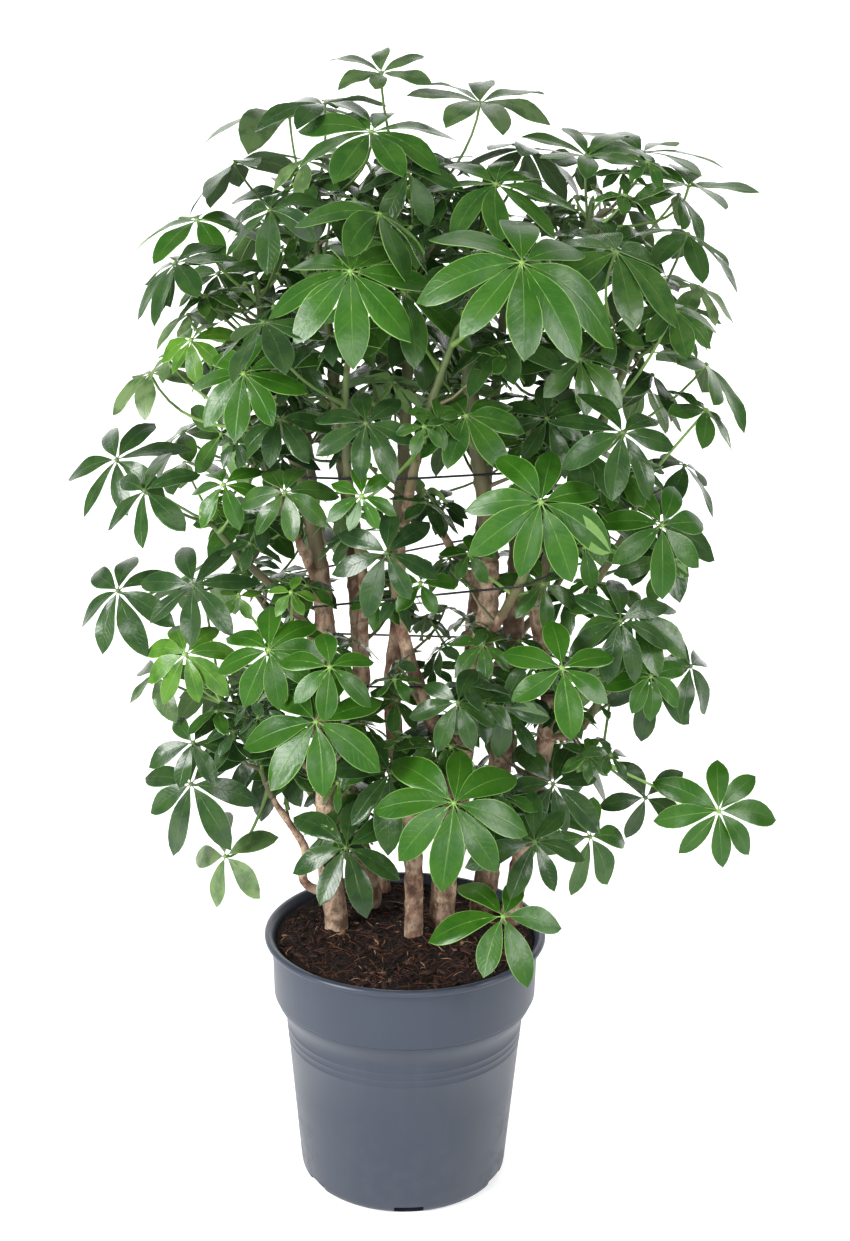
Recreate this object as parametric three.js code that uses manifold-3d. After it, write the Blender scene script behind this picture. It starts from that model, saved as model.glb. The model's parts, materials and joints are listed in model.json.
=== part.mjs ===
// A potted umbrella plant: a tapered nursery pot, potting soil, eight woody trunks and thirty leafy
// stems with palmate leaves, held in by three tie cords.
// Millimetres, +Z up, -Y is the front. The origin is the middle of the pot's flat underside.
import * as THREE from 'three';
import { mergeVertices } from 'three/addons/utils/BufferGeometryUtils.js';
import Module from 'manifold-3d';

const wasm = await Module();
wasm.setup();

// Driving dimensions
const POT_HEIGHT = 250;
const RIM_RADIUS = 135;
const LIP_WIDTH = 6.3;
const LIP_HEIGHT = 5.7;
const COLLAR_TOP_RADIUS = 128;
const COLLAR_FOOT_RADIUS = 126;
const COLLAR_FOOT_HEIGHT = 190;
const COLLAR_EDGE = [2.5, 8];
const WALL_TOP_RADIUS = 114.5;
const WALL_TOP_HEIGHT = 163;
const COVE = [2, 8];
const COVE_INSIDE = 4;
const FOOT_RADIUS = 101;
const FOOT_ROUNDING = 10;
const WALL_THICKNESS = 3;
const FLOOR_THICKNESS = 4;
const POT_SIDES = 26;
const DRAIN_NOTCHES = 6;
const DRAIN_WIDTH = 28;
const DRAIN_HEIGHT = 9;
const DRAIN_DEPTH = 16;
const DRAIN_FIRST_TURN = 3.4;
const GAP = 0.3;

const SOIL_HEIGHT = 243;
const SOIL_RELIEF = 2.2;
const SOIL_SIDES = 24;
const SOIL_RINGS = 3;
const TRUNK_FOOT_HEIGHT = 200;
const UPRIGHT_RISE = 8;
const HOLE_RISE = 10;
const TRUNK_SIDES = 6;
const HOLE_SIDES = 8;
const BRANCH_SIDES = 5;
const STEM_SIDES = 4;
const STEM_STEP = 48;
const TAPER = 2.2;

const HUB_TOP = 2;
const HUB_UNDER = 0.8;
const LEAFLET_FOLD = 0.15;
const NOTCH_REACH = 0.1;
const WIDEST_REACH = 0.58;
const STALK_RADIUS = 1.3;
const STALK_STEPS = 2;
const STALK_SIDES = 3;
const STALK_BEND = 0.45;
const LEAF_ROOM = 1.6;
const CORD_RADIUS = 1.1;
const CORD_SIDES = 4;
const CORD_SEARCH = 60;
const CORD_HALVINGS = 20;
const CORD_CORNERS = 10;
const NEARLY_ALONG = 0.2;

// Places in the crown are read as seen from the front at eye height: across and up on the upright
// plane through the pot's axis, then how far behind (+) or in front of (-) that plane they lie.
const EYE_DISTANCE = 1550;
const EYE_HEIGHT = 978;

function seen([across, up, depth]) {
  const scale = (EYE_DISTANCE + depth) / EYE_DISTANCE;
  return new THREE.Vector3(across * scale, depth, EYE_HEIGHT + (up - EYE_HEIGHT) * scale);
}

// Seeded draws, the same in every run
function draws(seed) {
  let state = seed;
  return () => {
    state = (state + 0x6d2b79f5) | 0;
    let t = Math.imul(state ^ (state >>> 15), 1 | state);
    t = (t + Math.imul(t ^ (t >>> 7), 61 | t)) ^ t;
    return ((t ^ (t >>> 14)) >>> 0) / 4294967296;
  };
}

// Each line is a stem from its root to its tip: the bark covers its first share and belongs to the
// trunk, and the green rest is a leafy stem. The first eight rise from the soil at foot [x, y].
const LINES = [
  { shoot: 'left_high', trunk: 1, foot: [-67, 12], bark: 0.66, radius: [12, 3.2], extra: 7,
    route: [[-71, 300, 10], [-74, 350, 8], [-76, 430, 5], [-76, 500, 3], [-77, 560, 0], [-86, 640, -5],
      [-106, 720, -5], [-125, 800, 0], [-135, 860, 5]] },
  { shoot: 'top_left', trunk: 2, foot: [-34, 63], bark: 0.66, radius: [10.5, 3], extra: 8,
    route: [[-38, 310, 58], [-50, 360, 52], [-56, 410, 45], [-47, 460, 36], [-43, 510, 30], [-46, 560, 28],
      [-52, 640, 25], [-62, 720, 20], [-70, 800, 20], [-80, 880, 20], [-88, 945, 20]] },
  { shoot: 'top_middle', trunk: 3, foot: [8, -4], bark: 0.66, radius: [9.5, 3], extra: 9,
    route: [[8, 300, 0], [4, 350, 7], [-4, 400, 14], [-12, 450, 16], [-14, 500, 18], [-9, 560, 20],
      [-10, 640, 12], [-5, 720, 5], [-2, 800, 0], [0, 880, 0], [5, 940, 0]] },
  { shoot: 'top_right', trunk: 4, foot: [35, 14], bark: 0.64, radius: [13, 3], extra: 9,
    route: [[37, 300, 10], [39, 350, 5], [46, 415, -2], [58, 475, -2], [66, 520, 0], [73, 570, 0],
      [72, 640, -8], [60, 720, -15], [50, 800, -15], [55, 870, -10], [62, 920, -10]] },
  { shoot: 'right_high', trunk: 5, foot: [76, 47], bark: 0.62, radius: [12.5, 3], extra: 7,
    route: [[77, 300, 45], [81, 350, 42], [86, 400, 38], [90, 450, 30], [93, 500, 25], [97, 560, 22],
      [100, 640, 25], [112, 720, 25], [130, 800, 20], [148, 880, 15], [155, 930, 15]] },
  { shoot: 'right_mid', trunk: 6, foot: [104, 26], bark: 0.68, radius: [10, 3], extra: 6,
    route: [[108, 310, 30], [116, 360, 28], [121, 400, 26], [129, 440, 24], [132, 475, 22], [126, 520, 20],
      [118, 575, 15], [136, 640, 8], [160, 710, 0], [182, 770, -10], [203, 825, -10]] },
  { shoot: 'back_left', trunk: 7, foot: [-25, 98], bark: 0.7, radius: [9.6, 3], extra: 8,
    route: [[-45, 330, 102], [-60, 400, 105], [-70, 480, 108], [-75, 560, 110], [-90, 700, 115],
      [-100, 800, 110], [-105, 880, 100]] },
  { shoot: 'back_right', trunk: 8, foot: [40, 95], bark: 0.7, radius: [9.6, 3], extra: 8,
    route: [[48, 330, 102], [53, 400, 108], [57, 480, 112], [60, 560, 116], [70, 700, 118], [80, 820, 110],
      [86, 900, 95]] },
  { shoot: 'left_upper', trunk: 1, bark: 0.3, radius: [4.5, 2.4], extra: 1,
    route: [[-79, 580, -1], [-104, 640, -30], [-130, 700, -55], [-150, 750, -70]] },
  { shoot: 'left_middle', trunk: 1, bark: 0.35, radius: [4.5, 2.4], extra: 1,
    route: [[-76, 520, 2], [-112, 575, -5], [-150, 612, -10], [-182, 650, -10]] },
  { shoot: 'left_bright', trunk: 1, bark: 0.35, radius: [4.5, 2.4], extra: 0,
    route: [[-76, 430, 5], [-90, 455, -25], [-105, 490, -45], [-112, 520, -50]] },
  { shoot: 'left_low', trunk: 1, bark: 0.3, radius: [4.2, 2.4], extra: 1,
    route: [[-76, 400, 6], [-112, 425, 10], [-150, 455, 10], [-176, 480, 5]] },
  { shoot: 'low_twig', trunk: 1, bark: 0.78, radius: [4.6, 2.2], extra: 2,
    route: [[-70, 284, 10], [-97, 296, 6], [-96, 330, 3], [-112, 358, 0], [-128, 385, 0], [-138, 414, 0]] },
  { shoot: 'front_left', trunk: 2, bark: 0.35, radius: [5, 2.6], extra: 2,
    route: [[-43, 520, 30], [-40, 580, 0], [-46, 630, -25], [-55, 690, -60], [-58, 750, -85],
      [-55, 800, -95]] },
  { shoot: 'front_middle', trunk: 3, bark: 0.4, radius: [5, 2.6], extra: 2,
    route: [[-9.5, 600, 17], [-4, 650, -25], [5, 700, -60], [20, 760, -85], [40, 820, -100]] },
  { shoot: 'front_right', trunk: 4, bark: 0.35, radius: [4.6, 2.6], extra: 1,
    route: [[66, 520, 0], [85, 560, -40], [105, 600, -80], [118, 635, -105]] },
  { shoot: 'middle_dark', trunk: 4, bark: 0.75, radius: [7.6, 2.8], extra: 0,
    route: [[46, 415, -4], [25, 455, -20], [8, 500, -25], [-5, 545, -25], [-12, 590, -38],
      [-18, 635, -60]] },
  { shoot: 'right_bright', trunk: 6, bark: 0.25, radius: [4.6, 2.4], extra: 1,
    route: [[124, 530, 19], [155, 570, 10], [180, 610, 0], [200, 650, -5], [208, 690, 0]] },
  { shoot: 'right_lower', trunk: 6, bark: 0.4, radius: [5, 2.4], extra: 1,
    route: [[131, 450, 24], [150, 446, 15], [163, 455, 5], [178, 480, -10], [190, 515, -20]] },
  { shoot: 'right_low', trunk: 6, bark: 0.5, radius: [4.4, 2.2], extra: 1,
    route: [[121, 400, 26], [145, 412, 15], [165, 415, 5], [185, 422, 0]] },
  { shoot: 'front_low', trunk: 5, bark: 0.4, radius: [4.4, 2.4], extra: 0,
    route: [[81, 350, 42], [98, 345, 15], [116, 338, -10], [127, 340, -25]] },
  { shoot: 'middle_small', trunk: 4, bark: 0.4, radius: [4, 2.4], extra: 0,
    route: [[50, 435, -3], [55, 445, -30], [60, 462, -55]] },
  { shoot: 'front_bright', trunk: 4, bark: 0.4, radius: [4.4, 2.4], extra: 0,
    route: [[38, 336, 5], [38, 350, -32], [41, 366, -65]] },
  { shoot: 'middle_low', trunk: 3, bark: 0.4, radius: [4.4, 2.4], extra: 0,
    route: [[2, 370, 10], [-5, 395, -17], [-12, 430, -40]] },
  { shoot: 'low_left', trunk: 2, bark: 0.4, radius: [4.2, 2.2], extra: 0,
    route: [[-43, 330, 56], [-50, 325, 25], [-56, 322, 0], [-58, 330, -25]] },
  { shoot: 'back_left_middle', trunk: 7, bark: 0.35, radius: [4.5, 2.4], extra: 4,
    route: [[-70, 480, 108], [-110, 540, 120], [-150, 600, 125], [-172, 660, 115]] },
  { shoot: 'back_right_middle', trunk: 8, bark: 0.35, radius: [4.5, 2.4], extra: 4,
    route: [[57, 480, 112], [100, 540, 130], [140, 600, 130], [165, 670, 115]] },
  { shoot: 'back_left_low', trunk: 7, bark: 0.35, radius: [4.2, 2.4], extra: 3,
    route: [[-45, 330, 102], [-80, 370, 125], [-112, 425, 130]] },
  { shoot: 'back_right_low', trunk: 8, bark: 0.35, radius: [4.2, 2.4], extra: 3,
    route: [[48, 330, 102], [85, 370, 125], [122, 425, 125]] },
  { shoot: 'back_middle', trunk: 8, bark: 0.35, radius: [4.5, 2.4], extra: 6,
    route: [[62, 585, 117], [30, 640, 140], [0, 700, 150], [-8, 770, 150]] },
];

// The leaves that show, one row each: the stem, the hub's place (across, up, depth), the leaflets'
// length and number, where the face looks (turned to the right, raised), the clock angle of the
// first leaflet, seen from the face, and how far the leaflets' tips lift, as a share of their length.
const LEAVES = [
  ['front_bright', [45, 378, -125], 84, 8, 5, 37, 10],
  ['top_left', [-92, 963, 0], 44, 5, -30, 65, -60],
  ['top_left', [-75, 1010, 20], 70, 6, -30, 80, -75, 0.35],
  ['left_bright', [-85, 458, -90], 80, 7, -10, 42, -95],
  ['top_left', [-105, 999, 50], 94, 6, -50, 84, -85, 0.4],
  ['front_low', [138, 398, -35], 62, 7, 0, 32, 170],
  ['front_low', [94, 262, -125], 66, 6, 5, 47, -30],
  ['middle_low', [-15, 408, -75], 74, 7, -10, 42, -85],
  ['middle_low', [-10, 480, -55], 34, 6, 0, 42, 0],
  ['middle_small', [88, 474, -20], 56, 5, 10, 4, 175],
  ['left_high', [-108, 937, 10], 70, 7, -30, 62, -90, 0.3],
  ['left_high', [-122, 922, -40], 66, 6, -30, 45, -80],
  ['left_high', [-185, 913, 0], 66, 6, -20, 74, -100, 0.15],
  ['left_high', [-168, 868, 30], 56, 6, -35, 60, -80, 0.1],
  ['left_high', [-195, 832, 20], 42, 6, -40, 72, -90],
  ['left_high', [-128, 873, -20], 62, 6, -20, 55, -80],
  ['top_left', [-35, 988, -40], 80, 8, -5, 62, 20, 0.2],
  ['top_middle', [-27, 1036, 10], 54, 6, 0, 62, -60, 0.55],
  ['top_middle', [57, 1013, 20], 72, 7, 20, 72, 70, 0.45],
  ['top_middle', [-3, 955, -50], 56, 6, -10, 45, -100],
  ['top_right', [72, 946, -40], 74, 8, 5, 58, -40, 0.15],
  ['top_right', [122, 744, -75], 50, 7, 5, 37, 0],
  ['right_high', [150, 970, 10], 62, 7, 10, 66, 40, 0.5],
  ['right_high', [197, 974, 30], 74, 7, 30, 74, 60, 0.45],
  ['right_high', [238, 946, 20], 76, 7, 35, 80, 45, 0.4],
  ['right_high', [185, 925, 60], 48, 6, 30, 75, 60],
  ['right_high', [173, 898, -30], 68, 7, 10, 50, 5],
  ['right_mid', [178, 890, -60], 78, 6, 30, 55, 140],
  ['right_mid', [251, 861, 0], 52, 6, 50, 60, 125],
  ['right_mid', [235, 828, -30], 42, 6, 50, 62, 130],
  ['right_mid', [150, 797, -70], 60, 7, 10, 42, 72],
  ['right_mid', [190, 732, -50], 66, 7, 20, 40, 50],
  ['left_upper', [-147, 781, -110], 64, 8, -20, 37, 0],
  ['left_upper', [-193, 810, -60], 44, 7, -30, 42, -50],
  ['left_upper', [-215, 795, -10], 34, 5, -40, 52, -60],
  ['left_upper', [-230, 780, 20], 52, 5, -50, 62, -80],
  ['left_upper', [-168, 727, -30], 60, 5, -30, 9, -140],
  ['left_upper', [-120, 840, -45], 52, 6, -20, 52, -80],
  ['left_middle', [-262, 703, 0], 64, 7, -30, 42, 5],
  ['left_middle', [-238, 675, -50], 58, 6, -30, 37, 170],
  ['left_middle', [-265, 582, -20], 64, 7, -25, 37, -10],
  ['left_middle', [-196, 588, -60], 62, 7, -10, 42, 25],
  ['left_middle', [-167, 681, -80], 46, 6, -20, 42, -90],
  ['left_bright', [-128, 527, -110], 60, 8, -10, 32, -13],
  ['left_bright', [-72, 511, -100], 48, 6, 5, 37, 0],
  ['left_bright', [-155, 578, -50], 26, 5, -10, 42, 0],
  ['left_bright', [-107, 582, -80], 28, 5, 0, 42, 10],
  ['left_low', [-205, 522, -60], 52, 8, -15, 32, 22],
  ['left_low', [-232, 505, 0], 52, 5, -40, 47, -150],
  ['left_low', [-200, 436, -40], 52, 6, -10, 37, 20],
  ['left_low', [-203, 395, -20], 74, 7, -20, 32, -20],
  ['low_twig', [-172, 322, -15], 62, 5, -30, 27, 190],
  ['front_left', [-53, 871, -150], 78, 8, -5, 48, 173],
  ['front_left', [-97, 798, -90], 48, 6, -20, 47, 20],
  ['front_left', [-39, 738, -120], 52, 7, 0, 37, -12],
  ['front_left', [-112, 675, -80], 46, 7, -10, 42, 10],
  ['front_middle', [96, 880, -145], 92, 8, 10, 42, 52],
  ['front_middle', [-7, 854, -90], 80, 7, 5, 45, 165],
  ['front_middle', [-43, 672, -140], 36, 7, 0, 27, -5],
  ['front_right', [119, 668, -165], 76, 8, 10, 29, 155],
  ['front_right', [55, 620, -60], 30, 5, 0, 37, 0],
  ['front_right', [123, 592, -70], 48, 6, 10, 42, 110],
  ['middle_dark', [11, 592, -90], 36, 5, 0, 42, 150],
  ['middle_dark', [-20, 620, -115], 58, 7, 0, 32, 0],
  ['right_bright', [229, 648, -70], 64, 7, 20, 27, 85],
  ['right_bright', [222, 652, -20], 78, 6, 20, 37, 100],
  ['right_bright', [247, 703, 20], 56, 5, 50, 62, 100],
  ['right_bright', [160, 627, -40], 44, 5, 10, 14, 175],
  ['right_bright', [232, 618, 10], 46, 5, 20, 14, 185],
  ['right_lower', [195, 558, -95], 60, 7, 5, 32, 0],
  ['right_lower', [143, 512, -80], 64, 6, 0, 37, 115],
  ['right_lower', [262, 515, -20], 62, 5, 50, 27, 150],
  ['right_lower', [225, 505, -60], 46, 7, 15, 32, 70],
  ['right_lower', [228, 495, -20], 60, 5, 10, 14, 195],
  ['right_low', [296, 372, -20], 68, 8, 10, 19, 0],
  ['right_low', [226, 385, -10], 56, 5, 10, 4, 195],
  ['right_low', [175, 432, -20], 28, 5, 0, 52, 80],
  ['front_low', [122, 340, -60], 62, 7, 10, 32, 105],
  ['front_low', [175, 345, -25], 60, 6, 30, 19, 150],
  ['middle_small', [47, 478, -90], 50, 7, 0, 32, 8],
  ['middle_small', [92, 490, -50], 44, 6, 10, 37, 0],
  ['low_left', [-57, 332, -75], 68, 7, -5, 37, 0],
];

// Three cords tie the stems in: the height at the middle, and how much it rises to the right
const CORDS = [
  { name: 'tie_low', height: 505, rise: -0.03 },
  { name: 'tie_middle', height: 590, rise: 0.2 },
  { name: 'tie_high', height: 700, rise: 0 },
];

const UP = new THREE.Vector3(0, 0, 1);
const radians = THREE.MathUtils.degToRad;

// A closed triangle mesh as a solid for joining and cutting, and back
function solid(points, triangles) {
  const vertProperties = new Float32Array(points.flatMap((p) => [p.x, p.y, p.z]));
  const triVerts = new Uint32Array(triangles.flat());
  return new wasm.Manifold(new wasm.Mesh({ numProp: 3, vertProperties, triVerts }));
}

function solidOf(geometry) {
  geometry.deleteAttribute('normal');
  geometry.deleteAttribute('uv');
  const merged = mergeVertices(geometry, 1e-3);
  return new wasm.Manifold(new wasm.Mesh({
    numProp: 3,
    vertProperties: new Float32Array(merged.attributes.position.array),
    triVerts: new Uint32Array(merged.index.array),
  }));
}

function geometryOf(manifold) {
  const mesh = manifold.getMesh();
  const geometry = new THREE.BufferGeometry();
  geometry.setAttribute('position', new THREE.BufferAttribute(new Float32Array(mesh.vertProperties), 3));
  geometry.setIndex(new THREE.BufferAttribute(new Uint32Array(mesh.triVerts), 1));
  geometry.computeVertexNormals();
  return geometry;
}

// A tube with its own radius at each point, closed at both ends
function taperedTube(points, radii, sides, tangents = null) {
  const vertices = [];
  const triangles = [];
  let side = null;
  points.forEach((point, i) => {
    const [before, after] = [points[Math.max(i - 1, 0)], points[Math.min(i + 1, points.length - 1)]];
    const along = tangents ? tangents[i] : after.clone().sub(before).normalize();
    side = side ?? new THREE.Vector3(1, 0, 0);
    side = side.clone().addScaledVector(along, -side.dot(along));
    if (side.length() < NEARLY_ALONG) side = new THREE.Vector3(0, 1, 0).addScaledVector(along, -along.y);
    side.normalize();
    const other = along.clone().cross(side);
    for (let k = 0; k < sides; k += 1) {
      const turn = (2 * Math.PI * k) / sides;
      const out = side.clone().multiplyScalar(Math.cos(turn)).addScaledVector(other, Math.sin(turn));
      vertices.push(point.clone().addScaledVector(out, radii[i]));
    }
  });
  for (let i = 0; i + 1 < points.length; i += 1) {
    for (let k = 0; k < sides; k += 1) {
      const a = i * sides + k;
      const b = i * sides + ((k + 1) % sides);
      triangles.push([a, b, b + sides], [a, b + sides, a + sides]);
    }
  }
  const last = (points.length - 1) * sides;
  for (let k = 1; k + 1 < sides; k += 1) {
    triangles.push([0, k + 1, k], [last, last + k, last + k + 1]);
  }
  return solid(vertices, triangles);
}

// The pot: one turned wall with a rolled lip and a collar, with drain notches at the foot
function pot() {
  const profile = [[0, 0], [FOOT_RADIUS - FOOT_ROUNDING, 0]];
  for (const turn of [45, 90]) {
    profile.push([
      FOOT_RADIUS - FOOT_ROUNDING * (1 - Math.sin(radians(turn))),
      FOOT_ROUNDING * (1 - Math.cos(radians(turn))),
    ]);
  }
  profile.push(
    [WALL_TOP_RADIUS, WALL_TOP_HEIGHT],
    [WALL_TOP_RADIUS + COVE[0], WALL_TOP_HEIGHT + COVE[1]],
    [COLLAR_FOOT_RADIUS - COLLAR_EDGE[0], COLLAR_FOOT_HEIGHT - COLLAR_EDGE[1]],
    [COLLAR_FOOT_RADIUS, COLLAR_FOOT_HEIGHT],
    [COLLAR_TOP_RADIUS, POT_HEIGHT - LIP_HEIGHT],
    [RIM_RADIUS - 1, POT_HEIGHT - LIP_HEIGHT],
    [RIM_RADIUS, POT_HEIGHT - LIP_HEIGHT + 1.5],
    [RIM_RADIUS - 1, POT_HEIGHT - 1],
    [RIM_RADIUS - 3, POT_HEIGHT],
    [RIM_RADIUS - LIP_WIDTH, POT_HEIGHT - 0.8],
    [COLLAR_TOP_RADIUS - WALL_THICKNESS, POT_HEIGHT - LIP_HEIGHT],
    [innerWall(COLLAR_FOOT_HEIGHT), COLLAR_FOOT_HEIGHT],
    [innerWall(WALL_TOP_HEIGHT), WALL_TOP_HEIGHT + COVE_INSIDE],
    [innerWall(FOOT_ROUNDING), FOOT_ROUNDING],
    [FOOT_RADIUS - FOOT_ROUNDING - 1, FLOOR_THICKNESS],
    [0, FLOOR_THICKNESS],
  );
  const wall = new THREE.LatheGeometry(profile.map(([r, z]) => new THREE.Vector2(r, z)), POT_SIDES);
  wall.rotateX(Math.PI / 2);
  let shape = solidOf(wall);
  for (let k = 0; k < DRAIN_NOTCHES; k += 1) {
    const notch = new THREE.BoxGeometry(DRAIN_WIDTH, DRAIN_DEPTH, 2 * DRAIN_HEIGHT);
    notch.translate(0, DRAIN_DEPTH / 2 - FOOT_RADIUS - 1, 0);
    notch.rotateZ(radians(DRAIN_FIRST_TURN + (360 * k) / DRAIN_NOTCHES));
    shape = shape.subtract(solidOf(notch));
  }
  return shape;
}

function innerWall(z) {
  if (z >= COLLAR_FOOT_HEIGHT) return COLLAR_FOOT_RADIUS - WALL_THICKNESS;
  if (z >= WALL_TOP_HEIGHT) return WALL_TOP_RADIUS - WALL_THICKNESS;
  return FOOT_RADIUS - WALL_THICKNESS;
}

// The soil: a plug that fills the pot, with an uneven top and a plain hole for each trunk
function soil() {
  const draw = draws(11);
  const profile = [
    [FOOT_RADIUS - FOOT_ROUNDING - 2, FLOOR_THICKNESS + GAP],
    [innerWall(0) - 1, FOOT_ROUNDING + 2],
    [innerWall(WALL_TOP_HEIGHT) - 1, WALL_TOP_HEIGHT + COVE_INSIDE],
    [innerWall(COLLAR_FOOT_HEIGHT) - 1, COLLAR_FOOT_HEIGHT + 2],
  ];
  const topRadius = COLLAR_TOP_RADIUS - WALL_THICKNESS - 1;
  for (let ring = 0; ring < SOIL_RINGS; ring += 1) {
    profile.push([topRadius * (1 - ring / SOIL_RINGS), SOIL_HEIGHT]);
  }
  const vertices = [];
  const triangles = [];
  profile.forEach(([r, z], ring) => {
    for (let k = 0; k < SOIL_SIDES; k += 1) {
      const turn = (2 * Math.PI * k) / SOIL_SIDES;
      const lump = ring > 4 ? SOIL_RELIEF * (2 * draw() - 1) : 0;
      vertices.push(new THREE.Vector3(r * Math.cos(turn), r * Math.sin(turn), z + lump));
    }
  });
  for (let ring = 0; ring + 1 < profile.length; ring += 1) {
    for (let k = 0; k < SOIL_SIDES; k += 1) {
      const a = ring * SOIL_SIDES + k;
      const b = ring * SOIL_SIDES + ((k + 1) % SOIL_SIDES);
      triangles.push([a, b, b + SOIL_SIDES], [a, b + SOIL_SIDES, a + SOIL_SIDES]);
    }
  }
  const floor = vertices.push(new THREE.Vector3(0, 0, FLOOR_THICKNESS + GAP)) - 1;
  const middle = vertices.push(new THREE.Vector3(0, 0, SOIL_HEIGHT)) - 1;
  const last = (profile.length - 1) * SOIL_SIDES;
  for (let k = 0; k < SOIL_SIDES; k += 1) {
    const next = (k + 1) % SOIL_SIDES;
    triangles.push([floor, next, k], [last + k, last + next, middle]);
  }
  let plug = solid(vertices, triangles);
  for (const line of LINES.filter((row) => row.foot)) {
    const [x, y] = line.foot;
    const hole = [TRUNK_FOOT_HEIGHT - GAP, SOIL_HEIGHT + HOLE_RISE].map((z) => new THREE.Vector3(x, y, z));
    const radius = (line.radius[0] + GAP) / Math.cos(Math.PI / HOLE_SIDES);
    plug = plug.subtract(taperedTube(hole, [radius, radius], HOLE_SIDES));
  }
  return plug;
}

// A stem line as a smooth curve, and its thickness from root to tip
function curveOf(line) {
  const route = line.route.map(seen);
  if (line.foot) {
    const [x, y] = line.foot;
    const upright = [TRUNK_FOOT_HEIGHT, SOIL_HEIGHT + UPRIGHT_RISE];
    route.unshift(...upright.map((z) => new THREE.Vector3(x, y, z)));
  }
  return new THREE.CatmullRomCurve3(route, false, 'catmullrom', 0.5);
}

function radiusAt(line, t) {
  return line.radius[0] + (line.radius[1] - line.radius[0]) * t ** TAPER;
}

function stemTube(line, from, to, sides, room = 0) {
  const curve = curveOf(line);
  const steps = Math.max(2, Math.round((curve.getLength() * (to - from)) / STEM_STEP));
  const upright = line.foot && from === 0 ? [0, 1 / (curve.points.length - 1)] : [from];
  const start = upright.at(-1);
  const shares = [...upright];
  for (let i = 1; i <= steps; i += 1) shares.push(start + ((to - start) * i) / steps);
  const radii = shares.map((t) => radiusAt(line, t) + room);
  const [points, tangents] = [shares.map((t) => curve.getPoint(t)), shares.map((t) => curve.getTangent(t))];
  return taperedTube(points, radii, sides, tangents);
}

// Where the green stem starts, a gap past the end of the bark
function greenStart(line) {
  const curve = curveOf(line);
  const speed = curve.getPoint(line.bark).distanceTo(curve.getPoint(line.bark + 1e-4)) / 1e-4;
  return line.bark + GAP / speed;
}

// The leaf's own axes: the face normal, the clock's twelve and three o'clock
function leafAxes(turned, raised) {
  const face = new THREE.Vector3(
    Math.sin(radians(turned)) * Math.cos(radians(raised)),
    -Math.cos(radians(turned)) * Math.cos(radians(raised)),
    Math.sin(radians(raised)),
  );
  const right = new THREE.Vector3(Math.cos(radians(turned)), Math.sin(radians(turned)), 0);
  return { face, right, twelve: right.clone().cross(face).negate() };
}

// A palmate leaf as one thin blade cut into leaflets: each bends away from the hub and is folded a
// little along its rib, where the blade is thickest. The underside is left open inside its rim, for
// a stalk or a point to close.
function openBlade(leaf, room) {
  const { face, right, twelve } = leafAxes(leaf.turned, leaf.raised);
  const at = (clock, reach, aside, lift) => {
    const out = twelve.clone().multiplyScalar(Math.cos(clock)).addScaledVector(right, Math.sin(clock));
    const across = right.clone().multiplyScalar(Math.cos(clock)).addScaledVector(twelve, -Math.sin(clock));
    const share = reach / leaf.length;
    const rib = out.multiplyScalar(reach)
      .addScaledVector(face, -leaf.length * (leaf.droop * share + leaf.arch * share * share))
      .addScaledVector(UP, -leaf.length * leaf.sag * share * share)
      .clampLength(0, reach);
    return leaf.hub.clone()
      .add(rib)
      .addScaledVector(across, aside)
      .addScaledVector(face, lift + LEAFLET_FOLD * Math.abs(aside));
  };
  const vertices = [at(0, 0, 0, HUB_TOP + room)];
  const triangles = [];
  const count = leaf.count;
  const step = (2 * Math.PI) / count;
  for (let i = 0; i < count; i += 1) {
    const clock = radians(leaf.clock) + i * step;
    const size = leaf.length * leaf.sizes[i % leaf.sizes.length];
    const half = size * leaf.width * 0.5;
    vertices.push(
      at(clock, size * WIDEST_REACH, -half - room, 0),
      at(clock, size + room, 0, 0),
      at(clock, size * WIDEST_REACH, half + room, 0),
      at(clock + step / 2, leaf.length * NOTCH_REACH + room, 0, 0),
    );
  }
  const rim = vertices.slice(1).map((_, k) => k + 1);
  rim.forEach((point, k) => triangles.push([0, rim[(k + 1) % rim.length], point]));
  return { vertices, triangles, rim };
}

// The blade alone, with room to spare all round it
function roomyBlade(leaf) {
  const { vertices, triangles, rim } = openBlade(leaf, LEAF_ROOM);
  const { face } = leafAxes(leaf.turned, leaf.raised);
  const under = vertices.push(leaf.hub.clone().addScaledVector(face, -HUB_UNDER - LEAF_ROOM)) - 1;
  rim.forEach((point, k) => triangles.push([under, point, rim[(k + 1) % rim.length]]));
  return solid(vertices, triangles);
}

// The leaf stalk bends from the stem into the underside of the hub
function stalkPoints(leaf) {
  const { face } = leafAxes(leaf.turned, leaf.raised);
  const reach = leaf.hub.distanceTo(leaf.root);
  const bend = leaf.hub.clone().addScaledVector(face, -STALK_BEND * reach);
  const under = leaf.hub.clone().addScaledVector(face, -HUB_UNDER);
  return new THREE.QuadraticBezierCurve3(leaf.root, bend, under).getPoints(STALK_STEPS);
}

function stalkRadius(i) {
  return STALK_RADIUS * (1.25 - (0.25 * i) / STALK_STEPS);
}

function roomyStalk(leaf) {
  const points = stalkPoints(leaf);
  return taperedTube(points, points.map((_, i) => stalkRadius(i) + LEAF_ROOM), STALK_SIDES);
}

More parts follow.
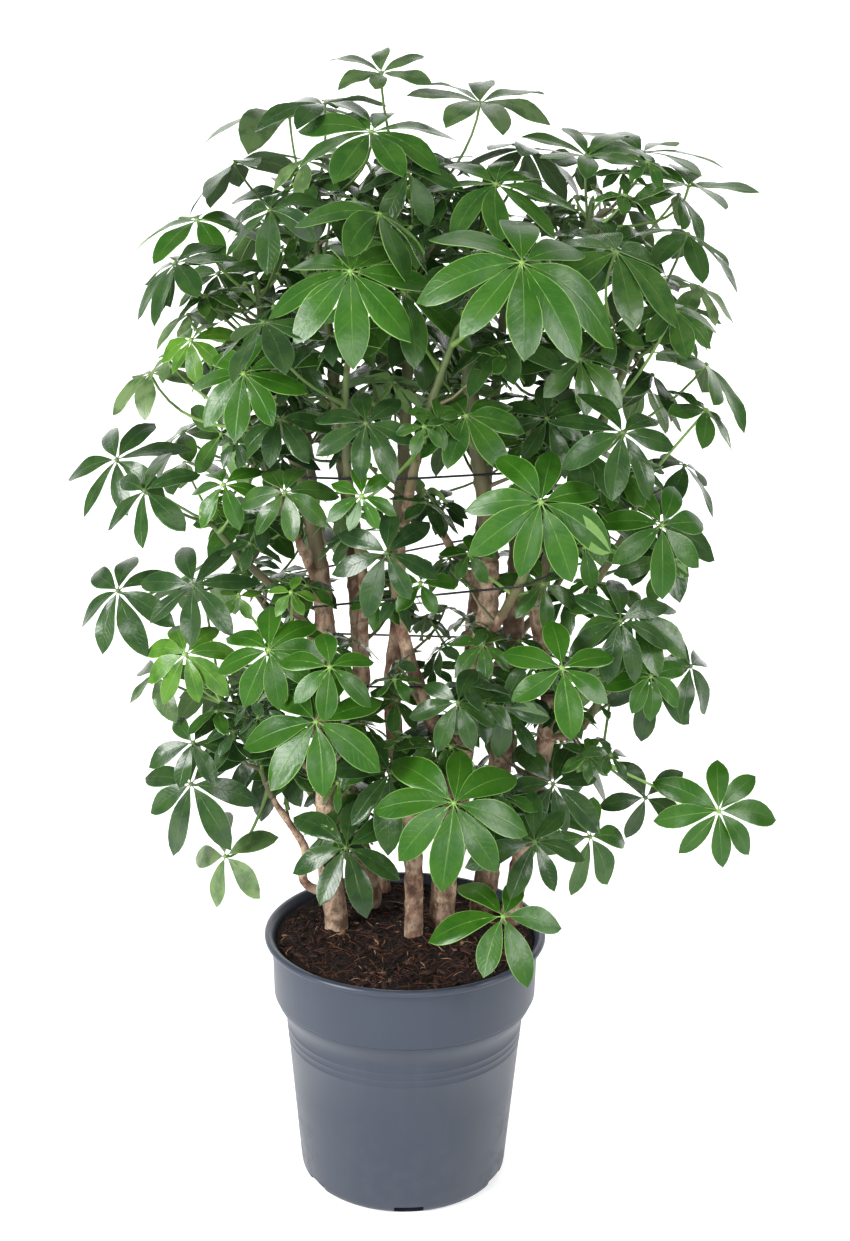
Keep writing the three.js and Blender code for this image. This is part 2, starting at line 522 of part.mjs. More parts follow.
// The whole leaf as one closed body: the stalk's rings run up into the open underside of the blade
function wholeLeaf(leaf) {
  const { vertices, triangles, rim } = openBlade(leaf, 0);
  const { face, right } = leafAxes(leaf.turned, leaf.raised);
  const points = stalkPoints(leaf);
  const first = vertices.length;
  points.forEach((point, i) => {
    const along = i < STALK_STEPS ? points[i + 1].clone().sub(points[Math.max(i - 1, 0)]) : face.clone();
    along.normalize();
    const side = right.clone().addScaledVector(along, -right.dot(along)).normalize();
    const other = along.clone().cross(side);
    for (let k = 0; k < STALK_SIDES; k += 1) {
      const clock = radians(leaf.clock) + (2 * Math.PI * k) / STALK_SIDES;
      vertices.push(point.clone()
        .addScaledVector(other, stalkRadius(i) * Math.cos(clock))
        .addScaledVector(side, stalkRadius(i) * Math.sin(clock)));
    }
  });
  for (let i = 0; i < STALK_STEPS; i += 1) {
    for (let k = 0; k < STALK_SIDES; k += 1) {
      const a = first + i * STALK_SIDES + k;
      const b = first + i * STALK_SIDES + ((k + 1) % STALK_SIDES);
      triangles.push([a, b + STALK_SIDES, b], [a, a + STALK_SIDES, b + STALK_SIDES]);
    }
  }
  triangles.push([first, first + 1, first + 2]);
  const end = first + STALK_STEPS * STALK_SIDES;
  const nearest = (k) => end + (Math.floor((k * STALK_SIDES) / rim.length) % STALK_SIDES);
  rim.forEach((point, k) => {
    const next = rim[(k + 1) % rim.length];
    const [here, there] = [nearest(k), nearest(k + 1)];
    triangles.push([here, point, next]);
    if (there !== here) triangles.push([here, next, there]);
  });
  return solid(vertices, triangles);
}

// The place on the green stem that a leaf's stalk grows from: the nearest to a point below the hub
const STALK_FALL = 45;
const ROOT_STEPS = 12;
const FIRST_ROOT = 3;

function rootFor(line, hub) {
  const curve = curveOf(line);
  const wanted = hub.clone().addScaledVector(UP, -STALK_FALL);
  let best = null;
  for (let i = FIRST_ROOT; i < ROOT_STEPS; i += 1) {
    const point = curve.getPoint(line.bark + ((1 - line.bark) * i) / ROOT_STEPS);
    if (!best || point.distanceTo(wanted) < best.distanceTo(wanted)) best = point;
  }
  return best;
}

// How leaves differ: the least and the spread of each share of the leaflets' length
const DROOP = [0.06, 0.12];
const ARCH = [0.08, 0.14];
const SAG = [0.12, 0.18];
const WIDTH = [0.48, 0.05];
const WIDTH_LOSS = 0.018;
const SIZE = [0.8, 0.2];

function drawn([least, spread], draw) {
  return least + spread * draw();
}

function leafShape(draw, count, lift = 0) {
  return {
    droop: drawn(DROOP, draw) - lift,
    arch: drawn(ARCH, draw),
    sag: drawn(SAG, draw),
    width: drawn(WIDTH, draw) - WIDTH_LOSS * count,
    sizes: [0, 1, 2, 3, 4].map(() => drawn(SIZE, draw)),
  };
}

// The places that a shown leaf tries in turn: further back or forward on the same line of sight,
// then turned about its hub, until one is clear of everything placed before it
const DEPTH_TRIES = [0, -12, 12, -24, 24, -38, 38, -54, 54, 70, -70, 90, -90, 112];
const TURN_TRIES = [0, 15, -15, 30];

function shownTries(row, draw) {
  const [shoot, [across, up, depth], length, count, turned, raised, clock, lift] = row;
  const line = LINES.find((one) => one.shoot === shoot);
  const shape = leafShape(draw, count, lift);
  return TURN_TRIES.flatMap((turn) => DEPTH_TRIES.map((shift) => {
    const hub = seen([across, up, depth + shift]);
    return {
      shoot, length, count, turned, raised: raised + turn / 2, clock: clock + turn, hub,
      root: rootFor(line, hub), ...shape,
    };
  }));
}

// The other leaves follow the spiral round each stem, from the tip down, with stalks that rise
// less the lower they grow
const GOLDEN_TURN = 137.5;
const FIRST_FALL = 0.08;
const SPIRAL_SPAN = 0.8;
const FEWEST_STEPS = 4;
const TOP_RISE = 55;
const RISE_LOSS = 45;
const SPREAD_TRIES = [0, 14, -14, 28, -28, 44, -44, 62, -62, 82, -82];
const STALK_TRIES = [1, 0.8, 1.2];
const RISE_TRIES = [0, 15, -15];
const SPIRAL_LEAFLETS = 5;
const SPIRAL_TOP = 975;
const FIRST_TURN = [90, 40];
const STALK_REACH = [75, 60];
const LEAN_MOST = 15;
const RAISED = [50, 20];
const LENGTH = [50, 22];

function spiralTries(line, index, draw) {
  const shape = leafShape(draw, SPIRAL_LEAFLETS);
  const firstTurn = drawn(FIRST_TURN, draw);
  const stalkReach = drawn(STALK_REACH, draw);
  const leaning = draw();
  const length = drawn(LENGTH, draw);
  const clock = 360 * draw();
  const lean = LEAN_MOST * leaning;
  const raised = drawn(RAISED, () => leaning);
  const curve = curveOf(line);
  const share = 1 - FIRST_FALL - (SPIRAL_SPAN * index) / Math.max(line.extra, FEWEST_STEPS);
  const root = curve.getPoint(line.bark + (1 - line.bark) * share);
  const tries = RISE_TRIES.flatMap((more) => STALK_TRIES.flatMap(
    (longer) => SPREAD_TRIES.map((spread) => ({ more, longer, spread })),
  ));
  return tries.map(({ more, longer, spread }) => {
    const turned = index * GOLDEN_TURN + firstTurn + spread;
    const rise = radians(TOP_RISE - RISE_LOSS * (1 - share) + lean + more);
    const reach = stalkReach * longer;
    const hub = root.clone().add(new THREE.Vector3(
      Math.sin(radians(turned)) * Math.cos(rise) * reach,
      -Math.cos(radians(turned)) * Math.cos(rise) * reach,
      Math.sin(rise) * reach,
    ));
    return {
      shoot: line.shoot, length, count: SPIRAL_LEAFLETS, turned, raised, clock, hub, root, ...shape,
    };
  }).filter((leaf) => leaf.hub.z < SPIRAL_TOP);
}

// What a leaf has to stay clear of, each with the node it belongs to
const obstacles = [];

function place(node, kind, shape) {
  obstacles.push({ node, kind, shape, box: shape.boundingBox() });
}

function boxesMeet(a, b) {
  return [0, 1, 2].every((k) => a.min[k] <= b.max[k] && b.min[k] <= a.max[k]);
}

function isClear(shape, ignores) {
  const box = shape.boundingBox();
  return !obstacles.some((other) => !ignores(other) && boxesMeet(box, other.box)
    && !shape.intersect(other.shape).isEmpty());
}

function settle(tries) {
  for (const leaf of tries) {
    const blade = roomyBlade(leaf);
    const stalk = roomyStalk(leaf);
    const ownStem = (other) => other.node === leaf.shoot && other.kind !== 'blade';
    if (isClear(blade, () => false) && isClear(stalk, ownStem)) {
      place(leaf.shoot, 'blade', blade);
      place(leaf.shoot, 'stalk', stalk);
      return leaf;
    }
  }
  return null;
}

// A cord drawn round every stem that crosses its slightly sloping plane
function cordGeometry({ height, rise }) {
  const around = [];
  for (const line of LINES) {
    const curve = curveOf(line);
    const above = (t) => curve.getPoint(t).z - height - rise * curve.getPoint(t).x;
    for (let i = 0; i < CORD_SEARCH; i += 1) {
      let [low, high] = [i / CORD_SEARCH, (i + 1) / CORD_SEARCH];
      if (above(low) * above(high) > 0) continue;
      for (let k = 0; k < CORD_HALVINGS; k += 1) {
        const middle = (low + high) / 2;
        if (above(low) * above(middle) <= 0) high = middle;
        else low = middle;
      }
      const at = curve.getPoint(low);
      const along = curve.getTangent(low);
      const radius = radiusAt(line, low) + CORD_RADIUS + GAP;
      const lean = Math.atan2(along.y, along.x);
      for (let k = 0; k < CORD_CORNERS; k += 1) {
        const turn = (2 * Math.PI * k) / CORD_CORNERS;
        const [long, short] = [(radius * Math.cos(turn)) / Math.abs(along.z), radius * Math.sin(turn)];
        around.push([
          at.x + long * Math.cos(lean) - short * Math.sin(lean),
          at.y + long * Math.sin(lean) + short * Math.cos(lean),
        ]);
      }
    }
  }
  const loop = hull(around).map(([x, y]) => new THREE.Vector3(x, y, height + rise * x));
  return closedTube(loop, CORD_RADIUS, CORD_SIDES);
}

function hull(points) {
  const sorted = [...points].sort((a, b) => a[0] - b[0] || a[1] - b[1]);
  const turnsRight = (a, b, c) => (b[0] - a[0]) * (c[1] - a[1]) - (b[1] - a[1]) * (c[0] - a[0]) <= 0;
  const half = (list) => {
    const out = [];
    for (const point of list) {
      while (out.length > 1 && turnsRight(out[out.length - 2], out[out.length - 1], point)) out.pop();
      out.push(point);
    }
    return out.slice(0, -1);
  };
  return [...half(sorted), ...half(sorted.reverse())];
}

function closedTube(loop, radius, sides) {
  const vertices = [];
  const triangles = [];
  const count = loop.length;
  loop.forEach((point, i) => {
    const along = loop[(i + 1) % count].clone().sub(loop[(i + count - 1) % count]).normalize();
    const out = along.clone().cross(UP).normalize();
    const top = out.clone().cross(along);
    for (let k = 0; k < sides; k += 1) {
      const turn = (2 * Math.PI * k) / sides;
      vertices.push(point.clone()
        .addScaledVector(out, radius * Math.cos(turn))
        .addScaledVector(top, radius * Math.sin(turn)));
    }
  });
  for (let i = 0; i < count; i += 1) {
    for (let k = 0; k < sides; k += 1) {
      const a = i * sides + k;
      const b = i * sides + ((k + 1) % sides);
      const [c, d] = [b, a].map((v) => (v + sides) % (count * sides));
      triangles.push([a, c, b], [a, d, c]);
    }
  }
  return solid(vertices, triangles);
}

const plant = new THREE.Group();

function add(name, geometry, color, roughness) {
  const mesh = new THREE.Mesh(geometry, new THREE.MeshStandardMaterial({ color, roughness, metalness: 0 }));
  mesh.name = name;
  plant.add(mesh);
}

const potAndSoil = [['pot', pot(), 0x5f6775, 0.45], ['soil', soil(), 0x2b1d16, 0.95]];
for (const [name, shape, color, roughness] of potAndSoil) {
  add(name, geometryOf(shape), color, roughness);
  place(name, 'pot', shape);
}

const trunkNames = [...new Set(LINES.map((line) => line.trunk))];
for (const trunk of trunkNames) {
  const parts = LINES.filter((line) => line.trunk === trunk);
  const wood = parts.map((line) => stemTube(line, 0, line.bark, line.foot ? TRUNK_SIDES : BRANCH_SIDES));
  const joined = wood.reduce((all, one) => all.add(one));
  add(`trunk_${trunk}`, geometryOf(joined), 0x8c7560, 0.85);
  place(`trunk_${trunk}`, 'wood', joined);
}
for (const cord of CORDS) {
  const shape = cordGeometry(cord);
  add(cord.name, geometryOf(shape), 0x101010, 0.6);
  place(cord.name, 'cord', shape);
}
for (const line of LINES) {
  place(line.shoot, 'stem', stemTube(line, greenStart(line), 1, STEM_SIDES, LEAF_ROOM));
}

const grown = new Map(LINES.map((line) => [line.shoot, []]));
const draw = draws(5);
for (const row of LEAVES) {
  const leaf = settle(shownTries(row, draw));
  if (leaf) grown.get(leaf.shoot).push(leaf);
}
for (const line of LINES) {
  for (let index = 0; index < line.extra; index += 1) {
    const leaf = settle(spiralTries(line, index, draw));
    if (leaf) grown.get(line.shoot).push(leaf);
  }
}
for (const line of LINES) {
  const parts = [stemTube(line, greenStart(line), 1, STEM_SIDES)];
  for (const leaf of grown.get(line.shoot)) parts.push(wholeLeaf(leaf));
  add(`shoot_${line.shoot}`, geometryOf(wasm.Manifold.union(parts)), 0x2f7a26, 0.5);
}

export default plant;
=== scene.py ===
# %% [markdown]
# A potted umbrella plant. Several woody trunks stand in a plastic nursery pot, thin black cords hold
# them together, and each stem ends in long-stalked leaves, cut to the middle into five to eight
# leaflets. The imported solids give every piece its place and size. This script dresses them: it keeps
# their form and adds what a faceted solid can't show.

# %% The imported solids
import itertools
import json
import math
from collections import namedtuple

import bmesh
import bpy
from mathutils import Matrix, Quaternion, Vector, noise
from mathutils.kdtree import KDTree

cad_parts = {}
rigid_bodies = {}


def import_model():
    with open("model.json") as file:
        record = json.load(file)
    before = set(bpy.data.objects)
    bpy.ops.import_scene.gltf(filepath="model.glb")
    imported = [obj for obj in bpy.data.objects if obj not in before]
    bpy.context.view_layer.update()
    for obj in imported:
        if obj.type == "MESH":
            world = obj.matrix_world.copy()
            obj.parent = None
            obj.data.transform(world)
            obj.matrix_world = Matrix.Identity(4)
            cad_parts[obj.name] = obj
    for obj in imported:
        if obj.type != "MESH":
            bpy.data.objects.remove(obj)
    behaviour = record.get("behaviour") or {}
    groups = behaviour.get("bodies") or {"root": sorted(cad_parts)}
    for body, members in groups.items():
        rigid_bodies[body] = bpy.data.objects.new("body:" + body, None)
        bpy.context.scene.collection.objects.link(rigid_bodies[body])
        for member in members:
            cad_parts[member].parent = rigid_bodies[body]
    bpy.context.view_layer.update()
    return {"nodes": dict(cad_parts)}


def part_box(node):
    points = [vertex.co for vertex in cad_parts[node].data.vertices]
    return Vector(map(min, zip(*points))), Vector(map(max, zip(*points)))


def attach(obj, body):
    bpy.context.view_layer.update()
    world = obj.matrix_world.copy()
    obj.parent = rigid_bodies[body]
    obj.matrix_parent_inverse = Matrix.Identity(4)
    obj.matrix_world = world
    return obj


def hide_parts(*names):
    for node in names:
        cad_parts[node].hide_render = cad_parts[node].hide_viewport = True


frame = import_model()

MM = 0.001

# %% [markdown]
# The camera comes first, because the places in the crown are read as they are seen from it. It stands
# at the height of the crown's top and looks a little down, with a lens slightly longer than the eye's.
# A camera looks along its own minus Z, so its rotation is built from the three directions it needs.

# %% The camera
EYE = Vector((0, -1.550, 0.978))
PITCH_DOWN = 0.2655
YAW = 0.010
ROLL = 0.012
FOCAL_PIXELS = 1750
PICTURE_PIXELS = 1241
SENSOR_MM = 36


def camera_turn(pitch, yaw, roll):
    ahead = Vector((math.sin(yaw) * math.cos(pitch), math.cos(yaw) * math.cos(pitch), -math.sin(pitch)))
    level = Vector((math.cos(yaw), -math.sin(yaw), 0))
    above = level.cross(ahead)
    right = math.cos(roll) * level + math.sin(roll) * above
    up = math.cos(roll) * above - math.sin(roll) * level
    return Matrix((right, up, -ahead)).transposed()


camera_data = bpy.data.cameras.new("camera")
camera_data.sensor_width = SENSOR_MM
camera_data.lens = FOCAL_PIXELS / PICTURE_PIXELS * SENSOR_MM
camera = bpy.data.objects.new("camera", camera_data)
camera.matrix_world = Matrix.Translation(EYE) @ camera_turn(PITCH_DOWN, YAW, ROLL).to_4x4()
bpy.context.scene.collection.objects.link(camera)
bpy.context.scene.camera = camera
print("lens in mm:", round(camera_data.lens, 2))

# %% [markdown]
# A finish is a small sum: this colour where the noise is high, that one along the veins. Shader nodes
# can be written as such sums. One small class wraps the output of a node, so that plus, minus and
# times on it add Math nodes, and one method adds every other kind of node.

# %% Shader sums in Python
class Wire:
    """One output of a node, for use in sums and as the input of another node."""

    def __init__(self, tree, socket=None):
        self.tree = tree
        self.socket = socket

    def node(self, kind, settings=None, out=0, **sockets):
        """Adds a node. Its settings come first, then each socket gets a value or a link."""
        made = self.tree.nodes.new(kind)
        for name, value in (settings or {}).items():
            if name == "stops":
                for _ in range(len(value) - len(made.color_ramp.elements)):
                    made.color_ramp.elements.new(1)
                for stop, (place, colour) in zip(made.color_ramp.elements, value):
                    stop.position = place
                    stop.color = (*colour, 1)
            else:
                setattr(made, name, value)
        for name, value in sockets.items():
            found = made.inputs[int(name[1:])] if name[1:].isdigit() else made.inputs[name.replace("_", " ")]
            if isinstance(value, Wire):
                self.tree.links.new(value.socket, found)
            else:
                found.default_value = value
        return Wire(self.tree, made.outputs[out])

    def sum(self, operation, first, second=0.0, clamp=False):
        return self.node("ShaderNodeMath", {"operation": operation, "use_clamp": clamp}, i0=first, i1=second)

    def __add__(self, other):
        return self.sum("ADD", self, other)

    def __sub__(self, other):
        return self.sum("SUBTRACT", self, other)

    def __rsub__(self, other):
        return self.sum("SUBTRACT", other, self)

    def __mul__(self, other):
        return self.sum("MULTIPLY", self, other)

    def __truediv__(self, other):
        return self.sum("DIVIDE", self, other)

    def __abs__(self):
        return self.sum("ABSOLUTE", self)

    __radd__ = __add__
    __rmul__ = __mul__

    def clamp(self):
        return self.sum("ADD", self, 0.0, clamp=True)

    def between(self, low, high):
        """0 below low, 1 above high, and smooth between them. High may be the lower of the two."""
        return self.node("ShaderNodeMapRange", {"interpolation_type": "SMOOTHSTEP"}, Value=self,
                         From_Min=low, From_Max=high, To_Min=0.0, To_Max=1.0)

    def blend(self, first, second):
        """The first colour where this wire is 0, the second where it is 1."""
        return self.node("ShaderNodeMix", {"data_type": "RGBA"}, out=2, i0=self,
                         i6=opaque(first), i7=opaque(second))

    def noise(self, scale, detail=3.0, rough=0.55):
        return self.node("ShaderNodeTexNoise", Vector=self, Scale=scale, Detail=detail, Roughness=rough)

    def ramp(self, *stops):
        return self.node("ShaderNodeValToRGB", {"stops": stops}, Fac=self)

    def split(self):
        parts = self.node("ShaderNodeSeparateXYZ", Vector=self).socket.node
        return [Wire(self.tree, output) for output in parts.outputs]

    def stretch(self, across, up):
        """The same place with its scale changed across and up, for grain that runs one way."""
        return self.node("ShaderNodeVectorMath", {"operation": "MULTIPLY"}, i0=self, i1=(across, across, up))


def opaque(colour):
    return colour if isinstance(colour, Wire) else (*colour, 1.0)


def finish(name, **shader):
    """A new material, a wire on the surface's own place, and the shader node to fill in."""
    material = bpy.data.materials.new(name)
    material.use_nodes = True
    tree = material.node_tree
    surface = tree.nodes["Principled BSDF"]
    for key, value in shader.items():
        surface.inputs[key.replace("_", " ")].default_value = value
    place = Wire(tree).node("ShaderNodeTexCoord", out=3)
    return material, place, surface


def connect(surface, height=None, strength=0.3, depth=0.0005, **wires):
    """Links the wires to the shader's sockets, and a height to its normal through a Bump node."""
    for key, wire in wires.items():
        wire.tree.links.new(wire.socket, surface.inputs[key.replace("_", " ")])
    if height:
        bump = height.node("ShaderNodeBump", Height=height, Strength=strength, Distance=depth)
        height.tree.links.new(bump.socket, surface.inputs["Normal"])


print("the shader sums are ready")

# %% [markdown]
# Most of this plant is tubes: trunks, twigs, leaf stalks and fibres. A tube starts as one small circle
# with a face in it, and the face is extruded from point to point. Each new face is turned to stand
# across the path and scaled to the radius there. The last face closes the end.

# %% Tubes
def across_path(points, index):
    before = points[max(index - 1, 0)]
    after = points[min(index + 1, len(points) - 1)]
    return (after - before).normalized()


def grow_tube(mesh, points, radii, sides):
    """Extrudes a circle along the points, and gives back the rings of vertices."""
    along = across_path(points, 0)
    turn = Vector((0, 0, 1)).rotation_difference(along)
    ring = bmesh.ops.create_circle(mesh, cap_ends=True, segments=sides, radius=1.0)["verts"]
    end = ring[0].link_faces[0]
    shape = [corner.co.copy() for corner in end.verts]
    rings = [list(end.verts)]
    place_ring(rings[0], shape, points[0], turn, radii[0])
    for index in range(1, len(points)):
        grown = bmesh.ops.extrude_discrete_faces(mesh, faces=[end])["faces"]
        end = grown[0]
        ahead = across_path(points, index)
        turn = along.rotation_difference(ahead) @ turn
        along = ahead
        rings.append(list(end.verts))
        place_ring(rings[-1], shape, points[index], turn, radii[index])
    mesh.faces.new(reversed(rings[0]))
    return rings


def place_ring(ring, shape, middle, turn, radius):
    for corner, flat in zip(ring, shape):
        corner.co = middle + turn @ (flat * radius)


def join_mesh(whole, mesh):
    """Adds a bmesh to a bigger one. Small meshes grow fast, and big ones slowly."""
    passing = bpy.data.meshes.new("passing")
    mesh.to_mesh(passing)
    mesh.free()
    whole.from_mesh(passing)
    bpy.data.meshes.remove(passing)


print("tubes are ready")

# %% [markdown]
# Each piece ends in the same way. Its bmesh becomes an object, it gets its finishes, it is tied to the
# body of the plant, and the solids that it stands for are hidden. Some meshes are first worked on by a
# modifier. What differs from leaf to leaf and from crumb to crumb comes from draws, which are random
# to the eye and the same in every run.

# %% Finished pieces and seeded draws
def linked_object(name, mesh):
    """Turns a bmesh into an object of the scene."""
    data = bpy.data.meshes.new(name)
    mesh.to_mesh(data)
    mesh.free()
    thing = bpy.data.objects.new(name, data)
    bpy.context.scene.collection.objects.link(thing)
    return thing


def make_piece(name, mesh, finishes, nodes=(), crease=40):
    """Turns a bmesh into a finished piece on the plant's one body, in place of the named solids."""
    piece = linked_object(name, mesh)
    data = piece.data
    for material in finishes:
        data.materials.append(material)
    data.shade_smooth()
    data.set_sharp_from_angle(angle=math.radians(crease))
    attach(piece, "root")
    if nodes:
        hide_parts(*nodes)
    print(name, "triangles:", sum(len(face.vertices) - 2 for face in data.polygons))
    return piece


def worked_mesh(mesh, *modifiers):
    """Runs modifiers on a bmesh through a passing object, and gives back the result as a bmesh."""
    passing = linked_object("passing", mesh)
    data = passing.data
    for kind, settings in modifiers:
        modifier = passing.modifiers.new(kind, kind)
        for key, value in settings.items():
            setattr(modifier, key, value)
    bpy.context.view_layer.update()
    result = bmesh.new()
    result.from_object(passing, bpy.context.evaluated_depsgraph_get())
    bpy.data.objects.remove(passing)
    bpy.data.meshes.remove(data)
    return result


def draws(seed):
    """The same row of draws in every run, and the same as the solids were made with."""
    state = seed
    whole = 0xFFFFFFFF

    def draw():
        nonlocal state
        state = (state + 0x6D2B79F5) & whole
        mixed = ((state ^ (state >> 15)) * (1 | state)) & whole
        mixed = ((mixed + (((mixed ^ (mixed >> 7)) * (61 | mixed)) & whole)) & whole) ^ mixed
        return (mixed ^ (mixed >> 14)) / 4294967296
    return draw


def within(measure, share):
    """A measure is its least and its spread. This gives the size at a share of the spread."""
    least, spread = measure
    return least + spread * share


print("pieces can be made")

# %% [markdown]
# The pot is injection moulded, so every round shape on it comes from turning one outline about the
# axis. The outline is drawn as a wire of edges and spun. Its fine points are what a plain tapered tub
# lacks: the rolled lip, the shadow gap under it, the rounded step below the collar and three thin
# raised rings. Six notches are cut in the foot, where water runs out. They stop at a thin skin of the
# pot's own dark plastic, which is painted shade: a dark sheet where the real pot shows only the
# shaded gap under its bottom.

# %% The pot's outline
POT_HEIGHT = 250
FOOT_RADIUS = 101
FOOT_ROUNDING = 10
WALL_TOP = (114.5, 163)
RING_HEIGHTS = (142, 149.5, 157)
RING_RISE = 0.4
POT_STEPS = 128


def wall_radius(z):
    return FOOT_RADIUS + (WALL_TOP[0] - FOOT_RADIUS) * (z - FOOT_ROUNDING) / (WALL_TOP[1] - FOOT_ROUNDING)


def spun_mesh(outline, steps):
    """Turns an outline, in mm, all the way round the upright axis."""
    mesh = bmesh.new()
    corners = [mesh.verts.new((radius * MM, 0, z * MM)) for radius, z in outline]
    wire = [mesh.edges.new(pair) for pair in zip(corners, corners[1:])]
    bmesh.ops.spin(mesh, geom=corners + wire, cent=(0, 0, 0), axis=(0, 0, 1), angle=2 * math.pi,
                   steps=steps, use_merge=True)
    bmesh.ops.remove_doubles(mesh, verts=mesh.verts, dist=1e-6)
    bmesh.ops.recalc_face_normals(mesh, faces=mesh.faces)
    return mesh


outline = [(0, 0), (FOOT_RADIUS - FOOT_ROUNDING, 0)]
for turn in (22.5, 45, 67.5, 90):
    outline.append((FOOT_RADIUS - FOOT_ROUNDING * (1 - math.sin(math.radians(turn))),
                    FOOT_ROUNDING * (1 - math.cos(math.radians(turn)))))
outline += [(wall_radius(z), z) for z in (40, 70, 100)]
for z in RING_HEIGHTS:
    radius = wall_radius(z)
    outline += [(radius, z - 0.9), (radius + RING_RISE * 0.8, z - 0.4), (radius + RING_RISE, z),
                (radius + RING_RISE * 0.8, z + 0.4), (radius + 0.1, z + 0.9)]
outline += [(114.6, 164), (116.0, 169.5), (118.6, 174.2), (121.3, 178.6), (123.3, 182.2), (124.3, 185.4)]
outline += [(124.5, 187.4), (124.2, 187.9), (125.6, 188.2), (126.2, 188.9), (126.3, 190)]
outline += [(126.9, 215), (127.9, 240), (127.5, 243.4), (128.2, 244.2), (133.4, 244.2), (134.5, 244.7)]
outline += [(135, 245.8), (135, 247.4), (134.5, 248.8), (133.4, 249.7), (131.8, POT_HEIGHT), (130, 249.7)]
outline += [(128.9, 249), (127, 246.6), (125, 243.5), (123.4, 194), (121.6, 186), (113.6, 169), (111.5, 164)]
outline += [(98, 12), (90, 4), (0, 4)]

pot_mesh = spun_mesh(outline, POT_STEPS)
print("the pot's wall has faces:", len(pot_mesh.faces))

# %% The drain notches
DRAIN_NOTCHES = 6
DRAIN_WIDTH = 28
DRAIN_DEPTH = 16
DRAIN_HEIGHT = 9
# The skin under each notch is painted shade: a sheet of the dark plastic where the real pot shows only
# shade.
NOTCH_SHADE_SKIN = 0.8
DRAIN_ROUNDING = 1.2
DRAIN_FIRST_TURN = 3.4

notch_mesh = bmesh.new()
for index in range(DRAIN_NOTCHES):
    turn = math.radians(DRAIN_FIRST_TURN + 360 * index / DRAIN_NOTCHES)
    middle = Vector((0, DRAIN_DEPTH / 2 - FOOT_RADIUS - 1, (DRAIN_HEIGHT + NOTCH_SHADE_SKIN) / 2))
    place = Matrix.Rotation(turn, 4, "Z") @ Matrix.Translation(middle * MM)
    size = Matrix.Diagonal((DRAIN_WIDTH * MM, DRAIN_DEPTH * MM, (DRAIN_HEIGHT - NOTCH_SHADE_SKIN) * MM, 1))
    bmesh.ops.create_cube(notch_mesh, size=1.0, matrix=place @ size)
bmesh.ops.bevel(notch_mesh, geom=notch_mesh.edges, offset=DRAIN_ROUNDING * MM, segments=2, profile=0.5,
                affect="EDGES", material=-1)
notches = linked_object("notches", notch_mesh)
pot_mesh = worked_mesh(pot_mesh, ("BOOLEAN", {"operation": "DIFFERENCE", "solver": "EXACT",
                                              "object": notches}))
bpy.data.objects.remove(notches)
print("with its notches it has faces:", len(pot_mesh.faces))

# %% [markdown]
# The pot is coloured right through, so its blue-grey hardly changes. What shows is the skin: a satin
# sheen with a very fine grain, a little dust low down, and faint streaks from watering. The colour,
# the roughness and the bump each take a small share of noise. Noise stretched up and down makes the
# streaks.

# %% The pot's plastic
pot_plastic, place, surface = finish("pot_plastic", Specular_IOR_Level=0.36)
cloud = place.noise(14, 4)
streaks = place.stretch(60, 4).noise(1.0, 3)
dust = (place.split()[2] / (POT_HEIGHT * MM)).between(0.55, 0.0) * place.noise(70, 5).between(0.42, 0.7)
colour = cloud.blend((0.026, 0.033, 0.050), (0.031, 0.040, 0.059))
colour = (streaks.between(0.5, 0.85) * 0.15).blend(colour, (0.070, 0.080, 0.102))
colour = (dust * 0.14).blend(colour, (0.105, 0.105, 0.100))
connect(surface, height=place.noise(900, 2), strength=0.12, depth=0.0002, Base_Color=colour,
        Roughness=0.31 + 0.10 * cloud + 0.18 * dust)
make_piece("nursery_pot", pot_mesh, [pot_plastic], ["pot"], crease=50)

# %% [markdown]
# The plan of the plant is the one that its solids were made from. Each stem is a row: the leafy stem's
# name, its trunk, its foot in the soil if it rises from there, how much of it has bark, its thickness
# at both ends, how many leaves follow its spiral, and its route. A place in the crown is written as
# it is seen from the camera: across, up and depth, in mm on the upright plane through the pot's axis.

